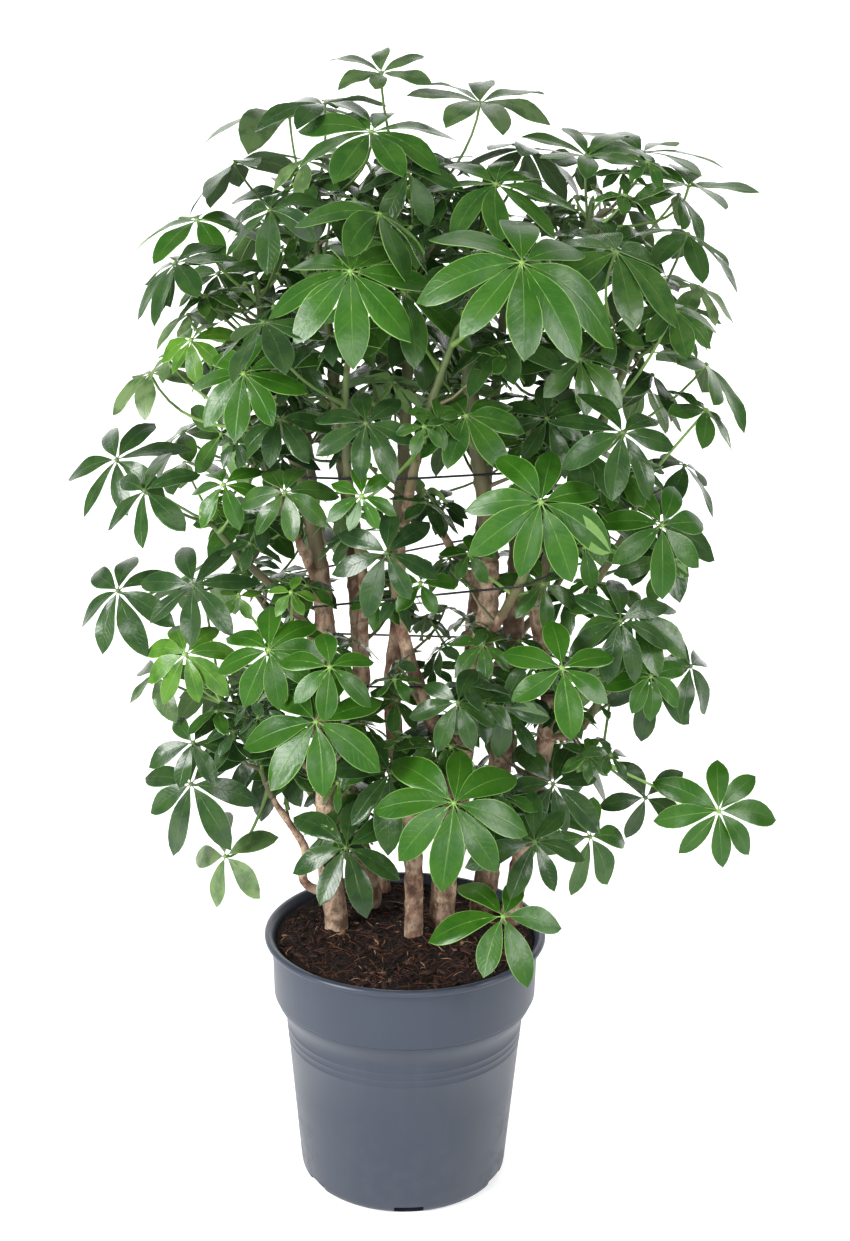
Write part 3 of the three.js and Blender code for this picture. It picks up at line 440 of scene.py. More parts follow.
# %% The stems' plan
Stem = namedtuple("Stem", "name trunk foot bark radius extra route")
STEMS = [
    Stem("left_high", 1, (-67, 12), 0.66, (12, 3.2), 7,
         [(-71, 300, 10), (-74, 350, 8), (-76, 430, 5), (-76, 500, 3), (-77, 560, 0), (-86, 640, -5),
          (-106, 720, -5), (-125, 800, 0), (-135, 860, 5)]),
    Stem("top_left", 2, (-34, 63), 0.66, (10.5, 3), 8,
         [(-38, 310, 58), (-50, 360, 52), (-56, 410, 45), (-47, 460, 36), (-43, 510, 30),
          (-46, 560, 28), (-52, 640, 25), (-62, 720, 20), (-70, 800, 20), (-80, 880, 20),
          (-88, 945, 20)]),
    Stem("top_middle", 3, (8, -4), 0.66, (9.5, 3), 9,
         [(8, 300, 0), (4, 350, 7), (-4, 400, 14), (-12, 450, 16), (-14, 500, 18), (-9, 560, 20),
          (-10, 640, 12), (-5, 720, 5), (-2, 800, 0), (0, 880, 0), (5, 940, 0)]),
    Stem("top_right", 4, (35, 14), 0.64, (13, 3), 9,
         [(37, 300, 10), (39, 350, 5), (46, 415, -2), (58, 475, -2), (66, 520, 0), (73, 570, 0),
          (72, 640, -8), (60, 720, -15), (50, 800, -15), (55, 870, -10), (62, 920, -10)]),
    Stem("right_high", 5, (76, 47), 0.62, (12.5, 3), 7,
         [(77, 300, 45), (81, 350, 42), (86, 400, 38), (90, 450, 30), (93, 500, 25), (97, 560, 22),
          (100, 640, 25), (112, 720, 25), (130, 800, 20), (148, 880, 15), (155, 930, 15)]),
    Stem("right_mid", 6, (104, 26), 0.68, (10, 3), 6,
         [(108, 310, 30), (116, 360, 28), (121, 400, 26), (129, 440, 24), (132, 475, 22),
          (126, 520, 20), (118, 575, 15), (136, 640, 8), (160, 710, 0), (182, 770, -10),
          (203, 825, -10)]),
    Stem("back_left", 7, (-25, 98), 0.7, (9.6, 3), 8,
         [(-45, 330, 102), (-60, 400, 105), (-70, 480, 108), (-75, 560, 110), (-90, 700, 115),
          (-100, 800, 110), (-105, 880, 100)]),
    Stem("back_right", 8, (40, 95), 0.7, (9.6, 3), 8,
         [(48, 330, 102), (53, 400, 108), (57, 480, 112), (60, 560, 116), (70, 700, 118),
          (80, 820, 110), (86, 900, 95)]),
    Stem("left_upper", 1, None, 0.3, (4.5, 2.4), 1,
         [(-79, 580, -1), (-104, 640, -30), (-130, 700, -55), (-150, 750, -70)]),
    Stem("left_middle", 1, None, 0.35, (4.5, 2.4), 1,
         [(-76, 520, 2), (-112, 575, -5), (-150, 612, -10), (-182, 650, -10)]),
    Stem("left_bright", 1, None, 0.35, (4.5, 2.4), 0,
         [(-76, 430, 5), (-90, 455, -25), (-105, 490, -45), (-112, 520, -50)]),
    Stem("left_low", 1, None, 0.3, (4.2, 2.4), 1,
         [(-76, 400, 6), (-112, 425, 10), (-150, 455, 10), (-176, 480, 5)]),
    Stem("low_twig", 1, None, 0.78, (4.6, 2.2), 2,
         [(-70, 284, 10), (-97, 296, 6), (-96, 330, 3), (-112, 358, 0), (-128, 385, 0),
          (-138, 414, 0)]),
    Stem("front_left", 2, None, 0.35, (5, 2.6), 2,
         [(-43, 520, 30), (-40, 580, 0), (-46, 630, -25), (-55, 690, -60), (-58, 750, -85),
          (-55, 800, -95)]),
    Stem("front_middle", 3, None, 0.4, (5, 2.6), 2,
         [(-9.5, 600, 17), (-4, 650, -25), (5, 700, -60), (20, 760, -85), (40, 820, -100)]),
    Stem("front_right", 4, None, 0.35, (4.6, 2.6), 1,
         [(66, 520, 0), (85, 560, -40), (105, 600, -80), (118, 635, -105)]),
    Stem("middle_dark", 4, None, 0.75, (7.6, 2.8), 0,
         [(46, 415, -4), (25, 455, -20), (8, 500, -25), (-5, 545, -25), (-12, 590, -38),
          (-18, 635, -60)]),
    Stem("right_bright", 6, None, 0.25, (4.6, 2.4), 1,
         [(124, 530, 19), (155, 570, 10), (180, 610, 0), (200, 650, -5), (208, 690, 0)]),
    Stem("right_lower", 6, None, 0.4, (5, 2.4), 1,
         [(131, 450, 24), (150, 446, 15), (163, 455, 5), (178, 480, -10), (190, 515, -20)]),
    Stem("right_low", 6, None, 0.5, (4.4, 2.2), 1,
         [(121, 400, 26), (145, 412, 15), (165, 415, 5), (185, 422, 0)]),
    Stem("front_low", 5, None, 0.4, (4.4, 2.4), 0,
         [(81, 350, 42), (98, 345, 15), (116, 338, -10), (127, 340, -25)]),
    Stem("middle_small", 4, None, 0.4, (4, 2.4), 0,
         [(50, 435, -3), (55, 445, -30), (60, 462, -55)]),
    Stem("front_bright", 4, None, 0.4, (4.4, 2.4), 0,
         [(38, 336, 5), (38, 350, -32), (41, 366, -65)]),
    Stem("middle_low", 3, None, 0.4, (4.4, 2.4), 0,
         [(2, 370, 10), (-5, 395, -17), (-12, 430, -40)]),
    Stem("low_left", 2, None, 0.4, (4.2, 2.2), 0,
         [(-43, 330, 56), (-50, 325, 25), (-56, 322, 0), (-58, 330, -25)]),
    Stem("back_left_middle", 7, None, 0.35, (4.5, 2.4), 4,
         [(-70, 480, 108), (-110, 540, 120), (-150, 600, 125), (-172, 660, 115)]),
    Stem("back_right_middle", 8, None, 0.35, (4.5, 2.4), 4,
         [(57, 480, 112), (100, 540, 130), (140, 600, 130), (165, 670, 115)]),
    Stem("back_left_low", 7, None, 0.35, (4.2, 2.4), 3,
         [(-45, 330, 102), (-80, 370, 125), (-112, 425, 130)]),
    Stem("back_right_low", 8, None, 0.35, (4.2, 2.4), 3,
         [(48, 330, 102), (85, 370, 125), (122, 425, 125)]),
    Stem("back_middle", 8, None, 0.35, (4.5, 2.4), 6,
         [(62, 585, 117), (30, 640, 140), (0, 700, 150), (-8, 770, 150)]),
]
FEET = [stem.foot for stem in STEMS if stem.foot]
TRUNK_FOOT_HEIGHT = 200
UPRIGHT_HEIGHT = 251
LENGTH_STEPS = 60
TAPER = 2.2
GAP = 0.3


def seen(place):
    """The point, in mm, that is seen across and up on the upright plane, at the given depth."""
    across, up, depth = place
    distance, height = -EYE.y / MM, EYE.z / MM
    scale = (distance + depth) / distance
    return Vector((across * scale, depth, height + (up - height) * scale))


ROUTES = {}
for stem in STEMS:
    ROUTES[stem.name] = [seen(place) for place in stem.route]
    if stem.foot:
        ROUTES[stem.name].insert(0, Vector((*stem.foot, UPRIGHT_HEIGHT)))
        ROUTES[stem.name].insert(0, Vector((*stem.foot, TRUNK_FOOT_HEIGHT)))
print("stems:", len(STEMS), "of them from the soil:", len(FEET))

# %% A smooth curve through a route
def stem_point(stem, share):
    """The place at a share of the way along a stem, on a smooth curve through its route."""
    points = ROUTES[stem.name]
    way = (len(points) - 1) * share
    index = min(int(way), len(points) - 2)
    step = way - index
    second, third = points[index], points[index + 1]
    first = points[index - 1] if index > 0 else 2 * points[0] - points[1]
    last = points[index + 2] if index + 2 < len(points) else 2 * points[-1] - points[-2]
    leave, arrive = 0.5 * (third - first), 0.5 * (last - second)
    return (second + leave * step + (3 * (third - second) - 2 * leave - arrive) * step ** 2
            + (2 * (second - third) + leave + arrive) * step ** 3)


def stem_radius(stem, share):
    return stem.radius[0] + (stem.radius[1] - stem.radius[0]) * share ** TAPER


def stem_length(stem, low, high):
    shares = [low + (high - low) * index / LENGTH_STEPS for index in range(LENGTH_STEPS + 1)]
    return sum((stem_point(stem, b) - stem_point(stem, a)).length for a, b in zip(shares, shares[1:]))


print("longest stem in mm:", round(max(stem_length(stem, 0, 1) for stem in STEMS)))

# %% [markdown]
# Potting soil is a plug that fills the pot. Only its top is seen, and it isn't flat: it is pressed
# down here, heaped a little round each trunk there. The plug is spun from an outline as the pot was,
# with many fine rings on top, and then each point of the top is lifted by noise. The crumbs, bark
# chips and coir fibres that lie on it come after, because they need to know how high it is.

# %% The soil's plug
SOIL_HEIGHT = 243
SOIL_EDGE = 124.2
SOIL_STEPS = 120
TOP_RINGS = 36
HEAP_HEIGHT = 3.0
HEAP_WIDTH = 17
HEAP_MOST = 1.2
SWELL_HEIGHT = 2.4
LUMP_HEIGHT = 1.5
EDGE_START = 112
EDGE_WIDTH = 12
EDGE_FALL = 1.2
EDGE_CALM = 0.6
SWELL_SCALE = 0.028
LUMP_SCALE = 0.11


def soil_height(x, y):
    """How high the soil lies at a place, in mm, with its lumps and the heaps round the trunks."""
    broad = noise.noise((x * SWELL_SCALE, y * SWELL_SCALE, 3.1)) * SWELL_HEIGHT
    lumps = noise.fractal((x * LUMP_SCALE, y * LUMP_SCALE, 7.7), 0.7, 2.1, 4) * LUMP_HEIGHT
    heap = sum(math.exp(-((x - foot[0]) ** 2 + (y - foot[1]) ** 2) / HEAP_WIDTH ** 2) for foot in FEET)
    edge = max(0.0, (math.hypot(x, y) - EDGE_START) / EDGE_WIDTH)
    lifted = SOIL_HEIGHT + (broad + lumps) * (1 - EDGE_CALM * edge)
    return lifted + HEAP_HEIGHT * min(heap, HEAP_MOST) - EDGE_FALL * edge


soil_outline = [(0, 4.3), (89, 4.3), (97, 12), (110.3, 167), (121.8, 192), (SOIL_EDGE, 236)]
soil_outline += [(SOIL_EDGE * (1 - ring / TOP_RINGS), SOIL_HEIGHT) for ring in range(TOP_RINGS + 1)]
soil_mesh = spun_mesh(soil_outline, SOIL_STEPS)
for corner in soil_mesh.verts:
    if corner.co.z > (SOIL_HEIGHT - 1) * MM:
        corner.co.z = soil_height(corner.co.x / MM, corner.co.y / MM) * MM
print("the soil's plug has faces:", len(soil_mesh.faces))

# %% [markdown]
# Soil is never one brown. Wet crumbs are nearly black, coir is red-brown and dry bits are tan, all at
# a scale of a few millimetres. Two noises at different scales choose between those browns. The finer
# one also shapes the bump, so that the dark places are also the low ones.

# %% The soil's finish
soil_earth, place, surface = finish("soil_earth", Specular_IOR_Level=0.25)
grain = place.noise(420, 6, 0.7)
patch = place.noise(55, 4)
colour = grain.ramp((0.30, (0.003, 0.002, 0.0015)), (0.52, (0.009, 0.005, 0.0035)),
                    (0.64, (0.023, 0.010, 0.006)), (0.80, (0.055, 0.026, 0.015)))
colour = (patch.between(0.45, 0.7) * 0.4).blend(colour, (0.022, 0.008, 0.005))
connect(surface, height=grain + 0.5 * place.noise(1300, 3), strength=0.8, depth=0.002,
        Base_Color=colour, Roughness=0.78 + 0.2 * grain)
make_piece("soil_plug", soil_mesh, [soil_earth], ["soil"], crease=180)

# %% [markdown]
# On the plug lie loose bits, thrown by seeded draws: crumbs that are squashed balls, chips of bark that
# are thin bent slabs, and coir fibres that are short curved tubes. Each shape has few faces, because
# there are many of them. Bits that fall on a trunk are thrown again, and the ends of fibres that reach
# too far are pulled back inside the rim. Each bit also draws its own shade, which its points carry as
# a colour.

# %% Where the bits fall
throw = draws(31)
SCATTER_EDGE = 120.5
TRUNK_ROOM = 13


def free_place(reach=SCATTER_EDGE):
    """A random place on the soil that is clear of the trunks."""
    while True:
        turn = 2 * math.pi * throw()
        away = reach * math.sqrt(throw())
        x, y = away * math.cos(turn), away * math.sin(turn)
        if all(math.hypot(x - foot[0], y - foot[1]) > TRUNK_ROOM for foot in FEET):
            return x, y


def swing(size):
    return size * (2 * throw() - 1)


def shaded_mesh():
    """An empty bmesh whose points can carry a shade."""
    mesh = bmesh.new()
    return mesh, mesh.verts.layers.float_color.new("tone")


def shade_bit(corners, layer):
    shade = throw()
    for corner in corners:
        corner[layer] = (shade, shade, shade, 1)


print("room for loose bits, in mm across:", 2 * SCATTER_EDGE)

# %% Crumbs and chips
CRUMBS = 1100
CRUMB_SIZE = (0.9, 2.3)
CRUMB_DENT = 0.18
CHIPS = 420
CHIP_LENGTH = (3, 11)
CHIP_WIDTH = (0.09, 0.17)
CHIP_THICKNESS = (0.5, 0.7)
CHIP_LIFT = 0.8

crumb_mesh, crumb_shade = shaded_mesh()
for index in range(CRUMBS):
    x, y = free_place()
    size = within(CRUMB_SIZE, throw() ** 2)
    place = Matrix.Translation((x * MM, y * MM, (soil_height(x, y) + 0.25 * size) * MM))
    turn = Quaternion((throw(), throw(), throw(), throw())).normalized().to_matrix().to_4x4()
    shape = Matrix.Diagonal((size * MM, size * (0.6 + 0.4 * throw()) * MM, size * 0.6 * MM, 1))
    made = bmesh.ops.create_icosphere(crumb_mesh, subdivisions=1, radius=1.0, matrix=place @ turn @ shape)
    for corner in made["verts"]:
        corner.co += Vector([swing(CRUMB_DENT) for _ in range(3)]) * size * MM
    shade_bit(made["verts"], crumb_shade)

chip_mesh, chip_shade = shaded_mesh()
for index in range(CHIPS):
    x, y = free_place()
    long = within(CHIP_LENGTH, throw() ** 2)
    place = Matrix.Translation((x * MM, y * MM, (soil_height(x, y) + CHIP_LIFT) * MM))
    turn = (Matrix.Rotation(math.tau * throw(), 4, "Z") @ Matrix.Rotation(swing(0.6), 4, "X")
            @ Matrix.Rotation(swing(0.45), 4, "Y"))
    shape = Matrix.Diagonal((long * MM, long * within(CHIP_WIDTH, throw()) * MM,
                             within(CHIP_THICKNESS, throw()) * MM, 1))
    made = bmesh.ops.create_cube(chip_mesh, size=1.0, matrix=place @ turn @ shape)
    for corner in made["verts"]:
        corner.co += Vector((swing(0.14), swing(0.12), swing(0.05))) * long * MM
    shade_bit(made["verts"], chip_shade)
bmesh.ops.subdivide_edges(chip_mesh, edges=chip_mesh.edges[:], cuts=1, smooth=0.6)
print("crumbs:", CRUMBS, "chips:", CHIPS)

# %% Fibres
FIBRES = 1400
FIBRE_BATCH = 100
FIBRE_EDGE = 117
FIBRE_LENGTH = (4, 24)
FIBRE_RADIUS = (0.18, 0.28)
FIBRE_RISE = (0.5, 2.2)
FIBRE_BOW = 0.35
FIBRE_STEPS = 4
FIBRE_SIDES = 3


def add_fibre(mesh, shade_layer):
    x, y = free_place(FIBRE_EDGE)
    long = within(FIBRE_LENGTH, throw() ** 2)
    turn = math.tau * throw()
    bow = swing(FIBRE_BOW) * long
    thick = within(FIBRE_RADIUS, throw())
    rise = within(FIBRE_RISE, throw())
    points = []
    for step in range(FIBRE_STEPS + 1):
        share = step / FIBRE_STEPS - 0.5
        ahead, side = share * long, bow * (0.25 - share * share)
        px = x + ahead * math.cos(turn) - side * math.sin(turn)
        py = y + ahead * math.sin(turn) + side * math.cos(turn)
        if math.hypot(px, py) > SCATTER_EDGE:
            px, py = px * SCATTER_EDGE / math.hypot(px, py), py * SCATTER_EDGE / math.hypot(px, py)
        arch = rise * (1 - 3.4 * share * share)
        points.append(Vector((px, py, soil_height(px, py) + 0.3 + max(arch, -0.6))) * MM)
    rings = grow_tube(mesh, points, [thick * MM * k for k in (0.5, 1, 1.1, 0.9, 0.4)], FIBRE_SIDES)
    shade_bit(itertools.chain(*rings), shade_layer)


fibre_mesh, _ = shaded_mesh()
for start in range(0, FIBRES, FIBRE_BATCH):
    batch, batch_shade = shaded_mesh()
    for index in range(FIBRE_BATCH):
        add_fibre(batch, batch_shade)
    join_mesh(fibre_mesh, batch)
print("fibres:", FIBRES)

# %% [markdown]
# One finish dresses each kind of bit. The shade that a bit has drawn picks its brown: nearly half are
# dark, most others are red-brown, and a few are a dry pale tan. Those few are what shows from a step
# away.

# %% The bits' finishes
def litter_finish(name, dark, red, tan):
    material, place, surface = finish(name, Specular_IOR_Level=0.3)
    shade = place.node("ShaderNodeAttribute", {"attribute_name": "tone"}, out=2)
    grain = place.noise(900, 3)
    colour = shade.ramp((0.0, dark), (0.42, dark), (0.72, red), (0.90, red), (0.985, tan))
    colour = (grain.between(0.6, 0.35) * 0.5).blend(colour, dark)
    connect(surface, height=grain, strength=0.5, depth=0.0006, Base_Color=colour,
            Roughness=0.7 + 0.25 * grain)
    return material


crumb_brown = litter_finish("crumb_brown", (0.004, 0.002, 0.002), (0.016, 0.006, 0.004),
                            (0.05, 0.024, 0.014))
chip_brown = litter_finish("chip_brown", (0.006, 0.003, 0.002), (0.040, 0.015, 0.009), (0.30, 0.16, 0.09))
coir_tan = litter_finish("coir_tan", (0.018, 0.007, 0.004), (0.130, 0.046, 0.025), (0.46, 0.28, 0.17))
make_piece("soil_crumbs", crumb_mesh, [crumb_brown], crease=180)
make_piece("bark_chips", chip_mesh, [chip_brown], crease=180)
make_piece("coir_fibres", fibre_mesh, [coir_tan], crease=180)

# %% [markdown]
# The trunks are woody and grey-tan. A trunk and its forks are one body in life, so they are grown as
# tubes that reach into each other, and a voxel remesh melts them into one skin with soft crotches.
# Then each point of the skin is moved in or out: by broad noise, which gives knobs, by noise that is
# stretched along the wood, which gives furrows, and by thin raised rings, the scars that old leaf
# stalks leave.

# %% The trunks' tubes
BARK_STEP = 7
BARK_SIDES = 14
VOXEL = 2.5
FORK_SWELL = 1.35
FORK_STEPS = 3
KNOBBLY = 0.05
STUB_THICKNESS = 0.42
STUB_SIDES = 8
bark_draw = draws(47)

# Short stubs where a twig was cut: the stem's name, the share of the way, the direction, the length
STUBS = [("left_high", 0.28, (0.9, -0.5, 0.5), 17), ("left_high", 0.43, (-0.9, -0.4, 0.5), 15),
         ("left_high", 0.52, (0.6, -0.8, 0.3), 12), ("top_middle", 0.30, (0.8, -0.6, 0.4), 16),
         ("top_middle", 0.45, (-0.8, -0.5, 0.5), 14), ("top_right", 0.24, (0.9, -0.5, 0.6), 18),
         ("top_right", 0.40, (-0.7, -0.7, 0.4), 13), ("right_high", 0.22, (0.9, -0.6, 0.3), 17),
         ("right_high", 0.40, (-0.8, -0.5, 0.5), 14), ("right_mid", 0.33, (0.9, -0.4, 0.5), 16),
         ("right_mid", 0.50, (-0.8, -0.6, 0.3), 12), ("top_left", 0.30, (-0.8, -0.6, 0.4), 15)]


def wood_tube(mesh, stem):
    """The bark-covered share of a stem, a little knobbly, and thicker where it forks off."""
    steps = max(4, round(stem_length(stem, 0, stem.bark) / BARK_STEP))
    points, radii = [], []
    for index in range(steps + 1):
        share = stem.bark * index / steps
        radius = stem_radius(stem, share) * (1 + KNOBBLY * (2 * bark_draw() - 1))
        if not stem.foot:
            radius *= 1 + (FORK_SWELL - 1) * max(0.0, 1 - index / FORK_STEPS)
        points.append(stem_point(stem, share) * MM)
        radii.append(radius * MM)
    grow_tube(mesh, points, radii, BARK_SIDES)


def stub_tube(mesh, stem, share, direction, length):
    """A cut stub: thick where it leaves the stem, with a blunt end that turns up a little."""
    start = stem_point(stem, share)
    ahead = Vector(direction).normalized()
    thick = STUB_THICKNESS * stem_radius(stem, share)
    points = [start, start + ahead * length * 0.7, start + ahead * length + Vector((0, 0, 1))]
    grow_tube(mesh, [point * MM for point in points], [k * thick * MM for k in (1.5, 1.0, 0.8)], STUB_SIDES)


print("stubs:", len(STUBS))

# %% The bark's relief
FURROW = 0.3
KNOB = 1.0
SCAR_STEP = 0.023
SCAR_RISE = 0.8
SCAR_SHARPNESS = 0.86


def bark_relief(place):
    """The bark's relief at a place: furrows and knobs, mostly from -1 to 1, and scars from 0 to 1."""
    furrow = noise.fractal(Vector((place.x * 260, place.y * 260, place.z * 75)), 0.8, 2.0, 3)
    knob = noise.noise(place * 70)
    wander = noise.noise(place * 32) * 5
    ringed = math.cos(math.tau * place.z / SCAR_STEP + wander)
    scar = max(0.0, ringed - SCAR_SHARPNESS) / (1 - SCAR_SHARPNESS)
    shown = max(0.0, min(1.0, 0.5 + 2 * noise.noise(place * 24 + Vector((9, 3, 5)))))
    return furrow, knob, scar * shown


def bark_piece(trunk, material):
    mesh = bmesh.new()
    stems = [stem for stem in STEMS if stem.trunk == trunk]
    for stem in stems:
        wood_tube(mesh, stem)
    for name, share, direction, length in STUBS:
        for stem in stems:
            if stem.name == name:
                stub_tube(mesh, stem, share, direction, length)
    mesh = worked_mesh(mesh, ("REMESH", {"mode": "VOXEL", "voxel_size": VOXEL * MM}))
    bmesh.ops.smooth_vert(mesh, verts=mesh.verts, factor=0.5,
                          use_axis_x=True, use_axis_y=True, use_axis_z=True)
    mesh.normal_update()
    relief = mesh.verts.layers.float_color.new("relief")
    moves = []
    for corner in mesh.verts:
        furrow, knob, scar = bark_relief(corner.co)
        corner[relief] = (0.5 + 0.5 * furrow, 0.5 + 0.5 * knob, scar, 1)
        moves.append(corner.normal * (furrow * FURROW + knob * KNOB + scar * SCAR_RISE) * MM)
    for corner, move in zip(mesh.verts, moves):
        corner.co += move
    return make_piece(f"wood_{trunk}", mesh, [material], [f"trunk_{trunk}"], crease=180)


print("knobs and scars rise by, in mm:", KNOB, SCAR_RISE)

# %% [markdown]
# Bark is mottled at three scales: broad grey and tan patches, furrows that run along the stem, and
# fine dark specks. A little olive comes in higher up, where the wood is young. The relief that moved
# each point is kept on the point as a colour, so the brown can follow it: dark in the furrows, pale
# on the knobs, and a dark thread along each scar.

# %% The bark's finish
bark, place, surface = finish("bark", Specular_IOR_Level=0.25)
low, knob, scar = place.node("ShaderNodeAttribute", {"attribute_name": "relief"}).split()
patch = place.noise(38, 4, 0.6)
furrow = place.stretch(300, 130).noise(1.0, 6, 0.7)
speck = place.noise(560, 3, 0.7)
height = place.split()[2]
colour = patch.ramp((0.38, (0.066, 0.034, 0.023)), (0.47, (0.185, 0.106, 0.070)),
                    (0.56, (0.375, 0.265, 0.185)), (0.66, (0.130, 0.085, 0.058)))
colour = (knob.between(0.42, 0.68) * 0.4).blend(colour, (0.530, 0.410, 0.295))
colour = (low.between(0.46, 0.28) * 0.5).blend(colour, (0.105, 0.052, 0.034))
colour = (scar.between(0.25, 0.9) * 0.65).blend(colour, (0.110, 0.055, 0.036))
colour = (furrow.between(0.48, 0.36) * 0.80).blend(colour, (0.085, 0.045, 0.028))
colour = (speck.between(0.60, 0.72) * 0.55).blend(colour, (0.130, 0.060, 0.036))
colour = (height.between(0.50, 0.80) * 0.30).blend(colour, (0.22, 0.165, 0.095))
connect(surface, height=furrow + 0.35 * speck, strength=0.6, depth=0.0010, Base_Color=colour,
        Roughness=0.70 + 0.2 * furrow)
for trunk in sorted({stem.trunk for stem in STEMS}):
    bark_piece(trunk, bark)

# %% [markdown]
# Three cords hold the stems in. Their solids already have the right place and thickness, and a cord
# of two millimetres shows no facets, so each keeps its solid and gets a finish: black plastic string,
# with the fine slanting rib of its twist.

# %% The cords' finish
cord_black, place, surface = finish("cord_black", Base_Color=(0.010, 0.010, 0.011, 1))
x, y, z = place.split()
slant = (x + y) * 2100 + z * 2600
twist = slant.sum("SINE", slant)
connect(surface, height=twist, strength=0.6, depth=0.0004, Roughness=0.42 + 0.1 * place.noise(300, 2))
for name in ("tie_low", "tie_middle", "tie_high"):
    cord = frame["nodes"][name]
    cord.data.materials.clear()
    cord.data.materials.append(cord_black)
    print(name, "height in mm:", [round(corner.z / MM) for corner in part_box(name)])

# %% [markdown]
# Now the leaves. Each row of the plan says which stem bears the leaf, where its middle is seen, how
# long and how many its leaflets are, which way its face looks (turned to the right, raised), the
# clock angle of the first leaflet, how far the tips lift, and its tone. A tone says how light, how
# yellow and how pale a leaf is. New leaves are light and yellow, old ones dark and bluish, and leaves
# that show their underside pale.

